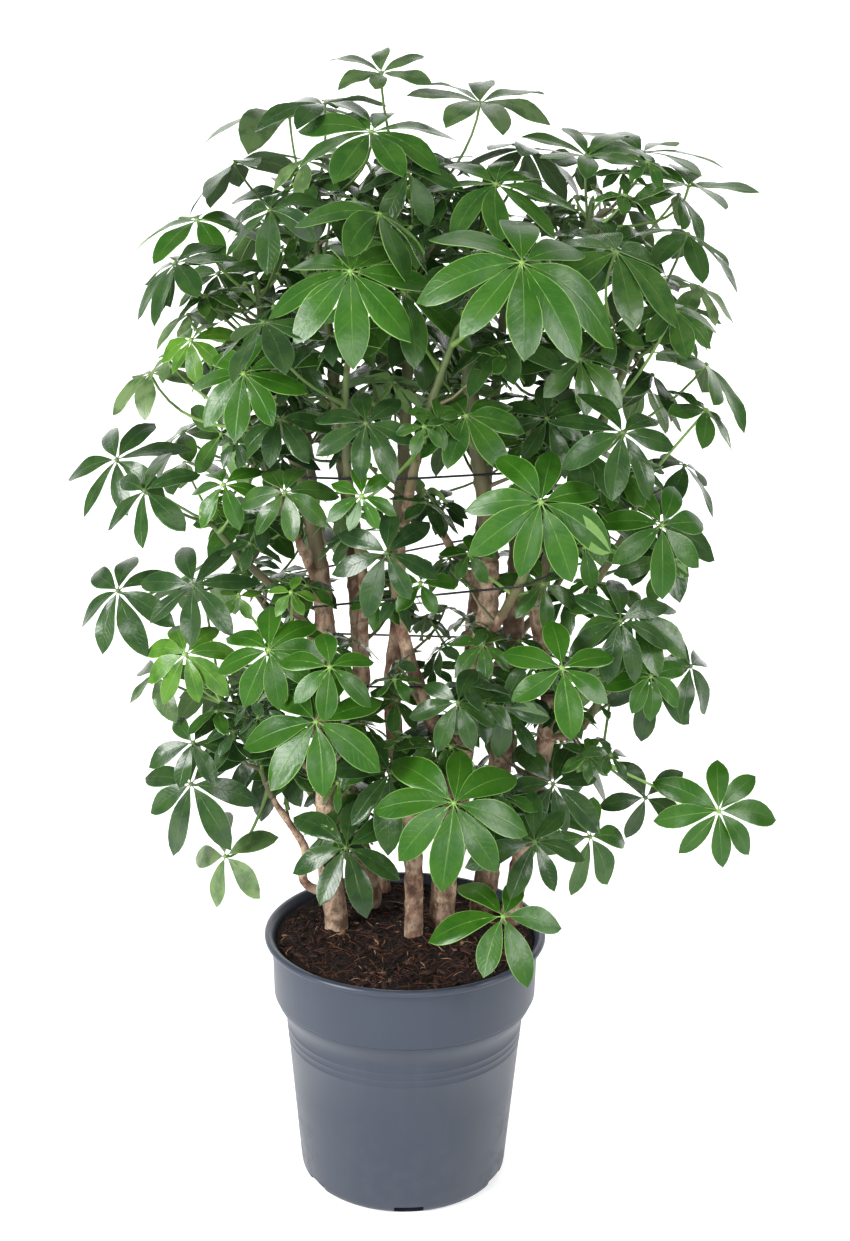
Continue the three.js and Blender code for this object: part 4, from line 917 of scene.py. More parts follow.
# %% The leaves' plan
TONES = {"bright": (0.86, 0.25, 0.04), "fair": (0.62, 0.30, 0.06), "fresh": (0.92, 0.85, 0.12),
         "young": (1.00, 1.00, 0.20), "mid": (0.42, 0.45, 0.08), "dark": (0.16, 0.30, 0.04),
         "blue": (0.13, 0.05, 0.08), "grey": (0.30, 0.25, 0.32), "pale": (0.50, 0.60, 0.62)}
LEAVES = [
    ("front_bright", (45, 378, -125), 84, 8, 5, 37, 10, 0, "bright"),
    ("top_left", (-92, 963, 0), 44, 5, -30, 65, -60, 0, "pale"),
    ("top_left", (-75, 1010, 20), 70, 6, -30, 80, -75, 0.35, "dark"),
    ("left_bright", (-85, 458, -90), 80, 7, -10, 42, -95, 0, "bright"),
    ("top_left", (-105, 999, 50), 94, 6, -50, 84, -85, 0.4, "grey"),
    ("front_low", (138, 398, -35), 62, 7, 0, 32, 170, 0, "dark"),
    ("front_low", (94, 262, -125), 66, 6, 5, 47, -30, 0, "bright"),
    ("middle_low", (-15, 408, -75), 74, 7, -10, 42, -85, 0, "dark"),
    ("middle_low", (-10, 480, -55), 34, 6, 0, 42, 0, 0, "mid"),
    ("middle_small", (88, 474, -20), 56, 5, 10, 4, 175, 0, "dark"),
    ("left_high", (-108, 937, 10), 70, 7, -30, 62, -90, 0.3, "dark"),
    ("left_high", (-122, 922, -40), 66, 6, -30, 45, -80, 0, "dark"),
    ("left_high", (-185, 913, 0), 66, 6, -20, 74, -100, 0.15, "bright"),
    ("left_high", (-168, 868, 30), 56, 6, -35, 60, -80, 0.1, "mid"),
    ("left_high", (-195, 832, 20), 42, 6, -40, 72, -90, 0, "pale"),
    ("left_high", (-128, 873, -20), 62, 6, -20, 55, -80, 0, "dark"),
    ("top_left", (-35, 988, -40), 80, 8, -5, 62, 20, 0.2, "fair"),
    ("top_middle", (-27, 1036, 10), 54, 6, 0, 62, -60, 0.55, "grey"),
    ("top_middle", (57, 1013, 20), 72, 7, 20, 72, 70, 0.45, "grey"),
    ("top_middle", (-3, 955, -50), 56, 6, -10, 45, -100, 0, "dark"),
    ("top_right", (72, 946, -40), 74, 8, 5, 58, -40, 0.15, "fair"),
    ("top_right", (122, 744, -75), 50, 7, 5, 37, 0, 0, "dark"),
    ("right_high", (150, 970, 10), 62, 7, 10, 66, 40, 0.5, "mid"),
    ("right_high", (197, 974, 30), 74, 7, 30, 74, 60, 0.45, "mid"),
    ("right_high", (238, 946, 20), 76, 7, 35, 80, 45, 0.4, "fair"),
    ("right_high", (185, 925, 60), 48, 6, 30, 75, 60, 0, "pale"),
    ("right_high", (173, 898, -30), 68, 7, 10, 50, 5, 0, "dark"),
    ("right_mid", (178, 890, -60), 78, 6, 30, 55, 140, 0, "mid"),
    ("right_mid", (251, 861, 0), 52, 6, 50, 60, 125, 0, "pale"),
    ("right_mid", (235, 828, -30), 42, 6, 50, 62, 130, 0, "mid"),
    ("right_mid", (150, 797, -70), 60, 7, 10, 42, 72, 0, "mid"),
    ("right_mid", (190, 732, -50), 66, 7, 20, 40, 50, 0, "dark"),
    ("left_upper", (-147, 781, -110), 64, 8, -20, 37, 0, 0, "bright"),
    ("left_upper", (-193, 810, -60), 44, 7, -30, 42, -50, 0, "fresh"),
    ("left_upper", (-215, 795, -10), 34, 5, -40, 52, -60, 0, "pale"),
    ("left_upper", (-230, 780, 20), 52, 5, -50, 62, -80, 0, "pale"),
    ("left_upper", (-168, 727, -30), 60, 5, -30, 9, -140, 0, "mid"),
    ("left_upper", (-120, 840, -45), 52, 6, -20, 52, -80, 0, "dark"),
    ("left_middle", (-262, 703, 0), 64, 7, -30, 42, 5, 0, "dark"),
    ("left_middle", (-238, 675, -50), 58, 6, -30, 37, 170, 0, "dark"),
    ("left_middle", (-265, 582, -20), 64, 7, -25, 37, -10, 0, "dark"),
    ("left_middle", (-196, 588, -60), 62, 7, -10, 42, 25, 0, "blue"),
    ("left_middle", (-167, 681, -80), 46, 6, -20, 42, -90, 0, "bright"),
    ("left_bright", (-128, 527, -110), 60, 8, -10, 32, -13, 0, "bright"),
    ("left_bright", (-72, 511, -100), 48, 6, 5, 37, 0, 0, "bright"),
    ("left_bright", (-155, 578, -50), 26, 5, -10, 42, 0, 0, "young"),
    ("left_bright", (-107, 582, -80), 28, 5, 0, 42, 10, 0, "young"),
    ("left_low", (-205, 522, -60), 52, 8, -15, 32, 22, 0, "fresh"),
    ("left_low", (-232, 505, 0), 52, 5, -40, 47, -150, 0, "grey"),
    ("left_low", (-200, 436, -40), 52, 6, -10, 37, 20, 0, "dark"),
    ("left_low", (-203, 395, -20), 74, 7, -20, 32, -20, 0, "dark"),
    ("low_twig", (-172, 322, -15), 62, 5, -30, 27, 190, 0, "pale"),
    ("front_left", (-53, 871, -150), 78, 8, -5, 48, 173, 0, "bright"),
    ("front_left", (-97, 798, -90), 48, 6, -20, 47, 20, 0, "blue"),
    ("front_left", (-39, 738, -120), 52, 7, 0, 37, -12, 0, "dark"),
    ("front_left", (-112, 675, -80), 46, 7, -10, 42, 10, 0, "mid"),
    ("front_middle", (96, 880, -145), 92, 8, 10, 42, 52, 0, "bright"),
    ("front_middle", (-7, 854, -90), 80, 7, 5, 45, 165, 0, "fair"),
    ("front_middle", (-43, 672, -140), 36, 7, 0, 27, -5, 0, "bright"),
    ("front_right", (119, 668, -165), 76, 8, 10, 29, 155, 0, "bright"),
    ("front_right", (55, 620, -60), 30, 5, 0, 37, 0, 0, "bright"),
    ("front_right", (123, 592, -70), 48, 6, 10, 42, 110, 0, "mid"),
    ("middle_dark", (11, 592, -90), 36, 5, 0, 42, 150, 0, "bright"),
    ("middle_dark", (-20, 620, -115), 58, 7, 0, 32, 0, 0, "blue"),
    ("right_bright", (229, 648, -70), 64, 7, 20, 27, 85, 0, "bright"),
    ("right_bright", (222, 652, -20), 78, 6, 20, 37, 100, 0, "dark"),
    ("right_bright", (247, 703, 20), 56, 5, 50, 62, 100, 0, "dark"),
    ("right_bright", (160, 627, -40), 44, 5, 10, 14, 175, 0, "bright"),
    ("right_bright", (232, 618, 10), 46, 5, 20, 14, 185, 0, "mid"),
    ("right_lower", (195, 558, -95), 60, 7, 5, 32, 0, 0, "dark"),
    ("right_lower", (143, 512, -80), 64, 6, 0, 37, 115, 0, "bright"),
    ("right_lower", (262, 515, -20), 62, 5, 50, 27, 150, 0, "dark"),
    ("right_lower", (225, 505, -60), 46, 7, 15, 32, 70, 0, "bright"),
    ("right_lower", (228, 495, -20), 60, 5, 10, 14, 195, 0, "dark"),
    ("right_low", (296, 372, -20), 68, 8, 10, 19, 0, 0, "bright"),
    ("right_low", (226, 385, -10), 56, 5, 10, 4, 195, 0, "dark"),
    ("right_low", (175, 432, -20), 28, 5, 0, 52, 80, 0, "young"),
    ("front_low", (122, 340, -60), 62, 7, 10, 32, 105, 0, "dark"),
    ("front_low", (175, 345, -25), 60, 6, 30, 19, 150, 0, "fair"),
    ("middle_small", (47, 478, -90), 50, 7, 0, 32, 8, 0, "dark"),
    ("middle_small", (92, 490, -50), 44, 6, 10, 37, 0, 0, "dark"),
    ("low_left", (-57, 332, -75), 68, 7, -5, 37, 0, 0, "dark"),
]
print("leaves in the plan:", len(LEAVES))

# %% [markdown]
# The solids were placed with care that no leaf cuts another: each tried a row of places in a fixed
# order until one was clear. That search isn't repeated here. The same tries are walked through, and
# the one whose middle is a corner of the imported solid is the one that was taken. The leaves that the
# plan doesn't name follow a spiral round each stem, and their draws go on from the same seed.

# %% How each leaf was placed
HUB_TOP = 2
HUB_UNDER = 0.8
LEAFLET_FOLD = 0.15
STALK_BEND = 0.45
STALK_FALL = 45
ROOT_STEPS = 12
FIRST_ROOT = 3
DEPTH_TRIES = [0, -12, 12, -24, 24, -38, 38, -54, 54, 70, -70, 90, -90, 112]
TURN_TRIES = [0, 15, -15, 30]
SPREAD_TRIES = [0, 14, -14, 28, -28, 44, -44, 62, -62, 82, -82]
STALK_TRIES = [1, 0.8, 1.2]
RISE_TRIES = [0, 15, -15]
GOLDEN_TURN = 137.5
SPIRAL_LEAFLETS = 5
SHOWN_LEAFLETS = 7
FIRST_FALL = 0.08
SPIRAL_SPAN = 0.8
FEWEST_STEPS = 4
TOP_RISE = 55
RISE_LOSS = 45
LEAN_MOST = 15

# How leaves differ: the least and the spread of each measure
DROOP = (0.06, 0.12)
ARCH = (0.08, 0.14)
SAG = (0.12, 0.18)
WIDTH = (0.48, 0.05)
WIDTH_LOSS = 0.018
SIZE = (0.8, 0.2)
SIZES = 5
FIRST_TURN = (90, 40)
STALK_REACH = (75, 60)
RAISED = (50, 20)
LENGTH = (50, 22)
SPIRAL_TONES = ["dark", "mid", "dark", "blue", "mid", "fair", "dark", "mid"]
MATCH = 0.02


def leaf_axes(turned, raised):
    """The direction the face looks in, and three and twelve o'clock on it."""
    turned, raised = math.radians(turned), math.radians(raised)
    flat = math.cos(raised)
    face = Vector((math.sin(turned) * flat, -math.cos(turned) * flat, math.sin(raised)))
    right = Vector((math.cos(turned), math.sin(turned), 0))
    return face, right, face.cross(right)


def leaf_shape(draw, count, lift=0.0):
    return {"count": count, "droop": within(DROOP, draw()) - lift, "arch": within(ARCH, draw()),
            "sag": within(SAG, draw()), "width": within(WIDTH, draw()) - WIDTH_LOSS * count,
            "sizes": [within(SIZE, draw()) for _ in range(SIZES)]}


def root_for(stem, hub):
    wanted = hub - Vector((0, 0, STALK_FALL))
    shares = [stem.bark + (1 - stem.bark) * index / ROOT_STEPS for index in range(FIRST_ROOT, ROOT_STEPS)]
    return min((stem_point(stem, share) for share in shares), key=lambda point: (point - wanted).length)


def shown_tries(row, draw):
    name, (across, up, depth), length, count, turned, raised, clock, lift, tone = row
    stem = next(one for one in STEMS if one.name == name)
    shape = leaf_shape(draw, count, lift)
    for turn in TURN_TRIES:
        for shift in DEPTH_TRIES:
            hub = seen((across, up, depth + shift))
            yield {"hub": hub, "stem": stem, "root": None, "turned": turned, "raised": raised + turn / 2,
                   "clock": clock + turn, "length": length, "tone": tone, **shape}


def spiral_tries(stem, index, draw):
    shape = leaf_shape(draw, SPIRAL_LEAFLETS)
    about, stalk, lean, size, clock = [draw() for _ in range(5)]
    share = 1 - FIRST_FALL - SPIRAL_SPAN * index / max(stem.extra, FEWEST_STEPS)
    root = stem_point(stem, stem.bark + (1 - stem.bark) * share)
    tone = SPIRAL_TONES[int(size * 1000) % len(SPIRAL_TONES)]
    shape["count"] = SHOWN_LEAFLETS
    for more, longer, spread in itertools.product(RISE_TRIES, STALK_TRIES, SPREAD_TRIES):
        turned = index * GOLDEN_TURN + within(FIRST_TURN, about) + spread
        rise = math.radians(TOP_RISE - RISE_LOSS * (1 - share) + LEAN_MOST * lean + more)
        flat = math.radians(turned)
        way = Vector((math.sin(flat) * math.cos(rise), -math.cos(flat) * math.cos(rise), math.sin(rise)))
        yield {"hub": root + within(STALK_REACH, stalk) * longer * way, "stem": stem, "root": root,
               "turned": turned, "raised": within(RAISED, lean), "clock": 360 * clock,
               "length": within(LENGTH, size), "tone": tone, **shape}


def corner_tree(name):
    corners = frame["nodes"][name].data.vertices
    tree = KDTree(len(corners))
    for index, corner in enumerate(corners):
        tree.insert(corner.co / MM, index)
    tree.balance()
    return tree


def taken(tries, tree):
    """The try whose middle is a corner of the solid, or None."""
    for leaf in tries:
        face = leaf_axes(leaf["turned"], leaf["raised"])[0]
        if tree.find(leaf["hub"] + face * HUB_TOP)[2] < MATCH:
            leaf["root"] = leaf["root"] or root_for(leaf["stem"], leaf["hub"])
            return leaf
    return None


print("tries for a leaf of the plan:", len(DEPTH_TRIES) * len(TURN_TRIES))

# %% The leaves that the solids have
TREES = {stem.name: corner_tree("shoot_" + stem.name) for stem in STEMS}
leaf_draw = draws(5)
placed = [taken(shown_tries(row, leaf_draw), TREES[row[0]]) for row in LEAVES]
for stem in STEMS:
    placed += [taken(spiral_tries(stem, index, leaf_draw), TREES[stem.name]) for index in range(stem.extra)]
placed = [leaf for leaf in placed if leaf]
print("leaves found:", len(placed), "leaflets:", sum(leaf["count"] for leaf in placed))

# %% [markdown]
# A leaflet is a thin blade: broadest past its middle, folded a little along the midrib, with edges
# that curl and wave, and a short point. Each starts as a flat grid with its own map, across from edge
# to edge and along from stalk to tip. Every point of the grid is then carried to its place on the
# drooping surface of the whole leaf, as the solid has it. Each leaf is made in a small mesh of its own
# and then joined to its stem, because an operator on a big mesh is slow.

# %% The leaf's surface
BLADE_ACROSS = 4
BLADE_ALONG = 9
SMALL_ALONG = 5
SMALL_LEAFLET = 44
BLADE_THICKNESS = 0.45
FULLNESS = (0.89, 0.16)
ROOT_POWER = 1.12
TIP_POWER = 0.82
ROOT_WIDTH = 0.035
WAVE = 1.1
WAVES_ALONG = 8.5
WAVE_SHIFT = 1.9
CURL = 0.16

# How leaflets differ: either way by this much, or the least and the spread
LENGTH_SWAY = 0.08
CLOCK_SWAY = 0.11
BEND_SWAY = 0.14
TILT_SWAY = 0.36
SHADE_SWAY = 0.20
LEAFLET_STALK = 1.0
LEAFLET_STALK_SHARE = (0.035, 0.035)
FOLD = (LEAFLET_FOLD, 0.16)
DROP = (-0.05, 0.20)
WAVE_SHARE = (0.5, 1)
fine_draw = draws(83)
BROADEST = ROOT_POWER / (ROOT_POWER + TIP_POWER)
OUTLINE_TOP = BROADEST ** ROOT_POWER * (1 - BROADEST) ** TIP_POWER


def blade_half(share):
    """Half the blade's width at a share of its length, as a share of its greatest half width."""
    return share ** ROOT_POWER * (1 - share) ** TIP_POWER / OUTLINE_TOP


def leaf_point(leaf, axes, clock, reach, aside, lift):
    face, right, twelve = axes
    out = twelve * math.cos(clock) + right * math.sin(clock)
    across = right * math.cos(clock) - twelve * math.sin(clock)
    share = reach / leaf["length"]
    fall = leaf["length"] * (leaf["droop"] * share + leaf["arch"] * share * share)
    sag = leaf["length"] * leaf["sag"] * share * share
    rib = out * reach - face * fall - Vector((0, 0, sag))
    rib *= min(1.0, reach / max(rib.length, 1e-6))
    return (leaf["hub"] + rib + across * aside + face * lift) * MM


def either_way(most):
    return most * (2 * fine_draw() - 1)


def leaflet_habit(leaf, index):
    """The clock angle, the size and the small differences of one leaflet. Light ones are fuller."""
    full = within(FULLNESS, TONES[leaf["tone"]][0])
    size = leaf["length"] * leaf["sizes"][index % SIZES] * (1 + either_way(LENGTH_SWAY))
    clock = math.radians(leaf["clock"]) + index * math.tau / leaf["count"] + either_way(CLOCK_SWAY)
    return {"clock": clock, "size": size, "half": size * leaf["width"] * 0.5 * full,
            "stalk": LEAFLET_STALK + size * within(LEAFLET_STALK_SHARE, fine_draw()),
            "bend": either_way(BEND_SWAY), "tilt": either_way(TILT_SWAY),
            "fold": within(FOLD, fine_draw()), "drop": within(DROP, fine_draw()),
            "phase": math.tau * fine_draw(), "shade": fine_draw(),
            "wave": WAVE * within(WAVE_SHARE, fine_draw())}


def on_blade(leaf, axes, habit, u, v, lift=0.0):
    """The place on a leaflet's face at u across (-1 to 1) and v along (0 to 1)."""
    width = blade_half(v) + ROOT_WIDTH * (1 - v)
    reach = habit["stalk"] + (habit["size"] - habit["stalk"]) * v
    aside = u * habit["half"] * width
    curl = -CURL * habit["half"] * width * u * u
    ripple = math.sin(WAVES_ALONG * v + habit["phase"] + (WAVE_SHIFT if u > 0 else 0.0))
    wave = habit["wave"] * u * u * width * ripple
    lift += curl + wave + habit["tilt"] * aside + habit["fold"] * abs(aside)
    lift -= habit["drop"] * habit["size"] * v * v
    return leaf_point(leaf, axes, habit["clock"] + habit["bend"] * v, reach, aside, lift)


print("a leaflet is broadest at this share of its length:", round(BROADEST, 2))

# %% Blades, ribs and stalks
RIB_STEPS = 5
SMALL_RIB_STEPS = 3
RIB_SIDES = 4
RIB_RADIUS = 0.5
RIB_START = 1.1
RIB_TAPER = 0.8
RIB_DEPTH = 0.3
RIB_END = 0.93

# The leaflet's own stalk: the share of the way from the hub to the blade, and its thickness in ribs
RIB_STALK = ((0.15, 1.25), (0.6, 1.15))

STALK_RADIUS = 1.3
STALK_STEPS = 7
STALK_SIDES = 6
STALK_TAPER = (1.2, -0.3)
STALK_ROOT_SWELL = 0.9
STALK_TOP_SWELL = 0.35
HUB_SIZE = (2.3, 2.3, 1.5)
HUB_LIFT = 0.2
UNDER = 1
GREEN = 2


def leafy_mesh():
    """An empty bmesh with the blades' map and the points' tone."""
    mesh = bmesh.new()
    mesh.loops.layers.uv.new("blade")
    return mesh, mesh.verts.layers.float_color.new("tone")


def add_blade(mesh, tone_layer, leaf, axes, habit):
    along = BLADE_ALONG if leaf["length"] > SMALL_LEAFLET else SMALL_ALONG
    made = bmesh.ops.create_grid(mesh, x_segments=BLADE_ACROSS, y_segments=along, size=0.5, calc_uvs=True)
    light, warm, pale = TONES[leaf["tone"]]
    light = min(1.0, max(0.0, light + SHADE_SWAY * (habit["shade"] - 0.5)))
    for corner in made["verts"]:
        u, v = 2 * corner.co.x, corner.co.y + 0.5
        corner.co = on_blade(leaf, axes, habit, u, v)
        corner[tone_layer] = (light, warm, pale, habit["shade"])


def add_rib(mesh, leaf, axes, habit):
    """The leaflet's own stalk, which runs on along the blade as its midrib."""
    start = leaf["hub"] * MM
    first = on_blade(leaf, axes, habit, 0, 0, -RIB_DEPTH)
    points = [start + (first - start) * share for share, _ in RIB_STALK]
    steps = RIB_STEPS if leaf["length"] > SMALL_LEAFLET else SMALL_RIB_STEPS
    radii = [RIB_RADIUS * thick for _, thick in RIB_STALK]
    for step in range(steps + 1):
        points.append(on_blade(leaf, axes, habit, 0, RIB_END * step / steps, -RIB_DEPTH))
        radii.append(RIB_RADIUS * (RIB_START - RIB_TAPER * step / steps))
    grow_tube(mesh, points, [radius * MM for radius in radii], RIB_SIDES)


def add_stalk(mesh, leaf, axes):
    """The leaf stalk bends from the stem up into the hub, and is swollen at both ends."""
    face = axes[0]
    root, hub = leaf["root"], leaf["hub"]
    bend = hub - face * STALK_BEND * (hub - root).length
    under = hub - face * HUB_UNDER
    points, radii = [], []
    for step in range(STALK_STEPS + 1):
        share = step / STALK_STEPS
        points.append(((1 - share) ** 2 * root + 2 * share * (1 - share) * bend + share ** 2 * under) * MM)
        near_root, near_leaf = 1 - share * STALK_STEPS, 1 - (1 - share) * STALK_STEPS
        swell = 1 + STALK_ROOT_SWELL * max(0.0, near_root) + STALK_TOP_SWELL * max(0.0, near_leaf)
        radii.append(STALK_RADIUS * within(STALK_TAPER, share) * swell * MM)
    grow_tube(mesh, points, radii, STALK_SIDES)
    place = Matrix.Translation((hub + face * HUB_LIFT) * MM)
    turn = face.to_track_quat("Z", "Y").to_matrix().to_4x4()
    size = Matrix.Diagonal((*[measure * MM for measure in HUB_SIZE], 1))
    bmesh.ops.create_uvsphere(mesh, u_segments=8, v_segments=5, radius=1.0, matrix=place @ turn @ size)


def add_leaf(whole, leaf):
    """Makes one leaf in a mesh of its own, and joins it to the stem's mesh."""
    mesh, tone_layer = leafy_mesh()
    axes = leaf_axes(leaf["turned"], leaf["raised"])
    habits = [leaflet_habit(leaf, index) for index in range(leaf["count"])]
    for habit in habits:
        add_blade(mesh, tone_layer, leaf, axes, habit)
    shell = bmesh.ops.solidify(mesh, geom=mesh.faces[:], thickness=BLADE_THICKNESS * MM)["geom"]
    for part in shell:
        if isinstance(part, bmesh.types.BMFace):
            part.material_index = UNDER
    blade_points, blade_faces = len(mesh.verts), len(mesh.faces)
    add_stalk(mesh, leaf, axes)
    for habit in habits:
        add_rib(mesh, leaf, axes, habit)
    mesh.verts.ensure_lookup_table()
    mesh.faces.ensure_lookup_table()
    light, warm, pale = TONES[leaf["tone"]]
    for corner in mesh.verts[blade_points:]:
        corner[tone_layer] = (0.6 + 0.4 * light, warm, pale, 0.0)
    for face in mesh.faces[blade_faces:]:
        face.material_index = GREEN
    join_mesh(whole, mesh)


print("points of a blade:", (BLADE_ACROSS + 1) * (BLADE_ALONG + 1))

# %% Green stems
NODE_STEP = 16
NODE_SWELL = (0.93, 0.14)
NODE_SHARPNESS = 6
STEM_END = 0.999
STEM_STEP = 4
STEM_SIDES = 10
BUD_REACH = (2, 4.5, 8)
BUD_RADIUS = (1.0, 0.75, 0.12)


def add_green_stem(mesh, tone_layer, stem):
    """The green end of a stem, ringed where leaves stood, with a small pointed bud at its tip."""
    length = stem_length(stem, stem.bark, 1)
    steps = round(length / STEM_STEP)
    points, radii = [], []
    for index in range(steps + 1):
        share = stem.bark + GAP / length * (1 - stem.bark) + (1 - stem.bark) * index / steps * STEM_END
        ringed = max(0.0, math.cos(math.tau * index * STEM_STEP / NODE_STEP)) ** NODE_SHARPNESS
        radius = stem_radius(stem, share) * within(NODE_SWELL, ringed)
        points.append(stem_point(stem, share) * MM)
        radii.append(radius * MM)
    ahead = across_path(points, steps)
    points += [points[-1] + ahead * reach * MM for reach in BUD_REACH]
    radii += [radii[-1] * share for share in BUD_RADIUS]
    rings = grow_tube(mesh, points, radii, STEM_SIDES)
    for index, ring in enumerate(rings):
        for corner in ring:
            corner[tone_layer] = (0.7 * index / len(rings), 0.5, 0.0, 1.0)


print("the bud ends past the stem by, in mm:", BUD_REACH[-1])

# %% [markdown]
# Two kinds of leaf are too small for the solids. Below each tip stand the youngest, a bright tuft. The
# stems also put out thin twigs with a pair of small leaves, which fill the shade inside the crown.

# %% Fresh tufts and inner twigs
TUFT_LEAVES = 2
TUFT_LEAFLETS = 5
TUFT_START = 0.985
TUFT_STEP = 0.01
TUFT_RISE = (35, 30)
TUFT_REACH = (12, 14)
TUFT_LENGTH = (13, 11)
SMALL_RAISED = (40, 35)
SMALL_LIFT = 0.12
BARK_TWIGS = {"fork": 1, "main": 3}
BARK_TWIG_PLACE = (0.35, 0.6)
GREEN_TWIGS = {"fork": 2, "main": 6}
GREEN_TWIG_PLACE = (0.12, 0.82)
TWIG_RISE = (15, 25)
TWIG_REACH = (16, 26)
TWIG_LIFT = 6
TWIG_RADIUS = 1.6
TWIG_LEAVES = 2
TWIG_LEAFLETS = 5
TWIG_LEAF_GAP = 7
TWIG_LEAF_RISE = (20, 40)
TWIG_LEAF_REACH = (18, 24)
TWIG_LEAF_LENGTH = (27, 17)
TWIG_TONES = ("fair", "dark", "mid", "blue")
small_draw = draws(127)


def small_leaf(stem, root, way, reach, length, count, tone):
    """A leaf that is too small for the solids, at the end of a short stalk."""
    flat = math.degrees(math.atan2(way.x, -way.y))
    return {"hub": root + way * reach, "stem": stem, "root": root, "turned": flat,
            "raised": within(SMALL_RAISED, small_draw()), "clock": 360 * small_draw(),
            "length": length, "tone": tone, **leaf_shape(small_draw, count, SMALL_LIFT)}


def outward(rise):
    """A random direction that rises by an angle, given in radians."""
    turn = math.tau * small_draw()
    return Vector((math.cos(turn) * math.cos(rise), math.sin(turn) * math.cos(rise), math.sin(rise)))


def tuft(stem):
    """The youngest leaves, still small, close below the tip."""
    leaves = []
    for index in range(TUFT_LEAVES):
        root = stem_point(stem, TUFT_START - TUFT_STEP * index)
        way = outward(math.radians(within(TUFT_RISE, small_draw())))
        reach, length = within(TUFT_REACH, small_draw()), within(TUFT_LENGTH, small_draw())
        leaves.append(small_leaf(stem, root, way, reach, length, TUFT_LEAFLETS, "fresh"))
    return leaves


def twig(stem, mesh, share):
    """A thin twig out of the stem, and the small leaves at its end."""
    start = stem_point(stem, share)
    way = outward(math.radians(within(TWIG_RISE, small_draw())))
    reach = stem_radius(stem, share) + within(TWIG_REACH, small_draw())
    tip = start + way * reach + Vector((0, 0, TWIG_LIFT))
    points = [start * MM, (start + way * reach * 0.6) * MM, tip * MM]
    grow_tube(mesh, points, [TWIG_RADIUS * k * MM for k in (1.4, 1.0, 0.8)], STALK_SIDES)
    leaves = []
    for index in range(TWIG_LEAVES):
        turn = (outward(math.radians(within(TWIG_LEAF_RISE, small_draw()))) + way).normalized()
        stalk, length = within(TWIG_LEAF_REACH, small_draw()), within(TWIG_LEAF_LENGTH, small_draw())
        tone = TWIG_TONES[int(len(TWIG_TONES) * small_draw())]
        root = tip - way * TWIG_LEAF_GAP * index
        leaves.append(small_leaf(stem, root, turn, stalk, length, TWIG_LEAFLETS + index, tone))
    return leaves


def leafy_piece(stem, leaves, finishes):
    """A green stem with its leaves, its tuft and its twigs. Stems from the soil have more twigs."""
    whole, tone_layer = leafy_mesh()
    add_green_stem(whole, tone_layer, stem)
    wood_points = len(whole.verts)
    leaves = leaves + tuft(stem)
    kind = "main" if stem.foot else "fork"
    for _ in range(BARK_TWIGS[kind]):
        leaves += twig(stem, whole, stem.bark * within(BARK_TWIG_PLACE, small_draw()))
    for _ in range(GREEN_TWIGS[kind]):
        leaves += twig(stem, whole, stem.bark + (1 - stem.bark) * within(GREEN_TWIG_PLACE, small_draw()))
    whole.verts.ensure_lookup_table()
    for corner in whole.verts[wood_points:]:
        corner[tone_layer] = (0.1, 0.4, 0.0, 1.0)
    for face in whole.faces:
        face.material_index = GREEN
    for leaf in leaves:
        add_leaf(whole, leaf)
    return make_piece(f"leaves_{stem.name}", whole, finishes, [f"shoot_{stem.name}"], crease=60)


print("twigs of a stem from the soil:", BARK_TWIGS["main"] + GREEN_TWIGS["main"])

# %% [markdown]
# One finish serves every leaf from the darkest to the palest, because each blade carries its tone as a
# colour on its points. The blade's own map draws what follows the blade: the midrib, the side veins
# that leave it at a slant, and the thin pale line along the edge. The skin is waxy, so it is glossy,
# and a little less so on light and pale leaves.

# %% The finish of a leaf's upper face
SIDE_VEINS = 11


def leaf_wires(place):
    """The blade's map and tone as wires: across, along, and how light, yellow and pale it is."""
    across, along, _ = place.node("ShaderNodeUVMap", {"uv_map": "blade"}).split()
    light, warm, pale = place.node("ShaderNodeAttribute", {"attribute_name": "tone"}).split()
    return abs(across * 2 - 1), along, light, warm, pale


def side_veins(across, along):
    """Thin lines that leave the midrib at a slant: 1 on a line, 0 between the lines."""
    slant = along * SIDE_VEINS - across * 2.1
    return slant.sum("PINGPONG", slant, 0.5).between(0.42, 0.5)


leaf_top, place, surface = finish("leaf_top", Specular_IOR_Level=0.29)
across, along, light, warm, pale = leaf_wires(place)
old = warm.blend((0.0165, 0.042, 0.0135), (0.024, 0.058, 0.007))
new = warm.blend((0.008, 0.062, 0.001), (0.060, 0.172, 0.002))
colour = light.blend(old, new)
colour = pale.blend(colour, (0.155, 0.215, 0.095))
cloud = place.noise(60, 4)
deeper = light.blend((0.008, 0.025, 0.010), (0.010, 0.068, 0.001))
colour = (cloud.between(0.42, 0.62) * 0.6).blend(colour, deeper)
veins = side_veins(across, along)
rib = across.between(0.060, 0.015) * (1.0 - along * 0.7)
edge = across.between(0.94, 0.98)
lines = (veins * across.between(1.0, 0.75) * 0.05 + 0.24 * rib + 0.65 * edge).clamp()
colour = lines.blend(colour, light.blend((0.075, 0.150, 0.065), (0.24, 0.42, 0.10)))
swell = place.noise(95, 2)
relief = swell * 1.3 + place.noise(420, 3) * 0.05 - rib * 0.5 - veins * 0.12
connect(surface, height=relief, strength=0.35, depth=0.0009, Base_Color=colour,
        Roughness=0.14 + 0.10 * cloud + 0.15 * pale + 0.12 * light)
print("upper face, shader nodes:", len(leaf_top.node_tree.nodes))

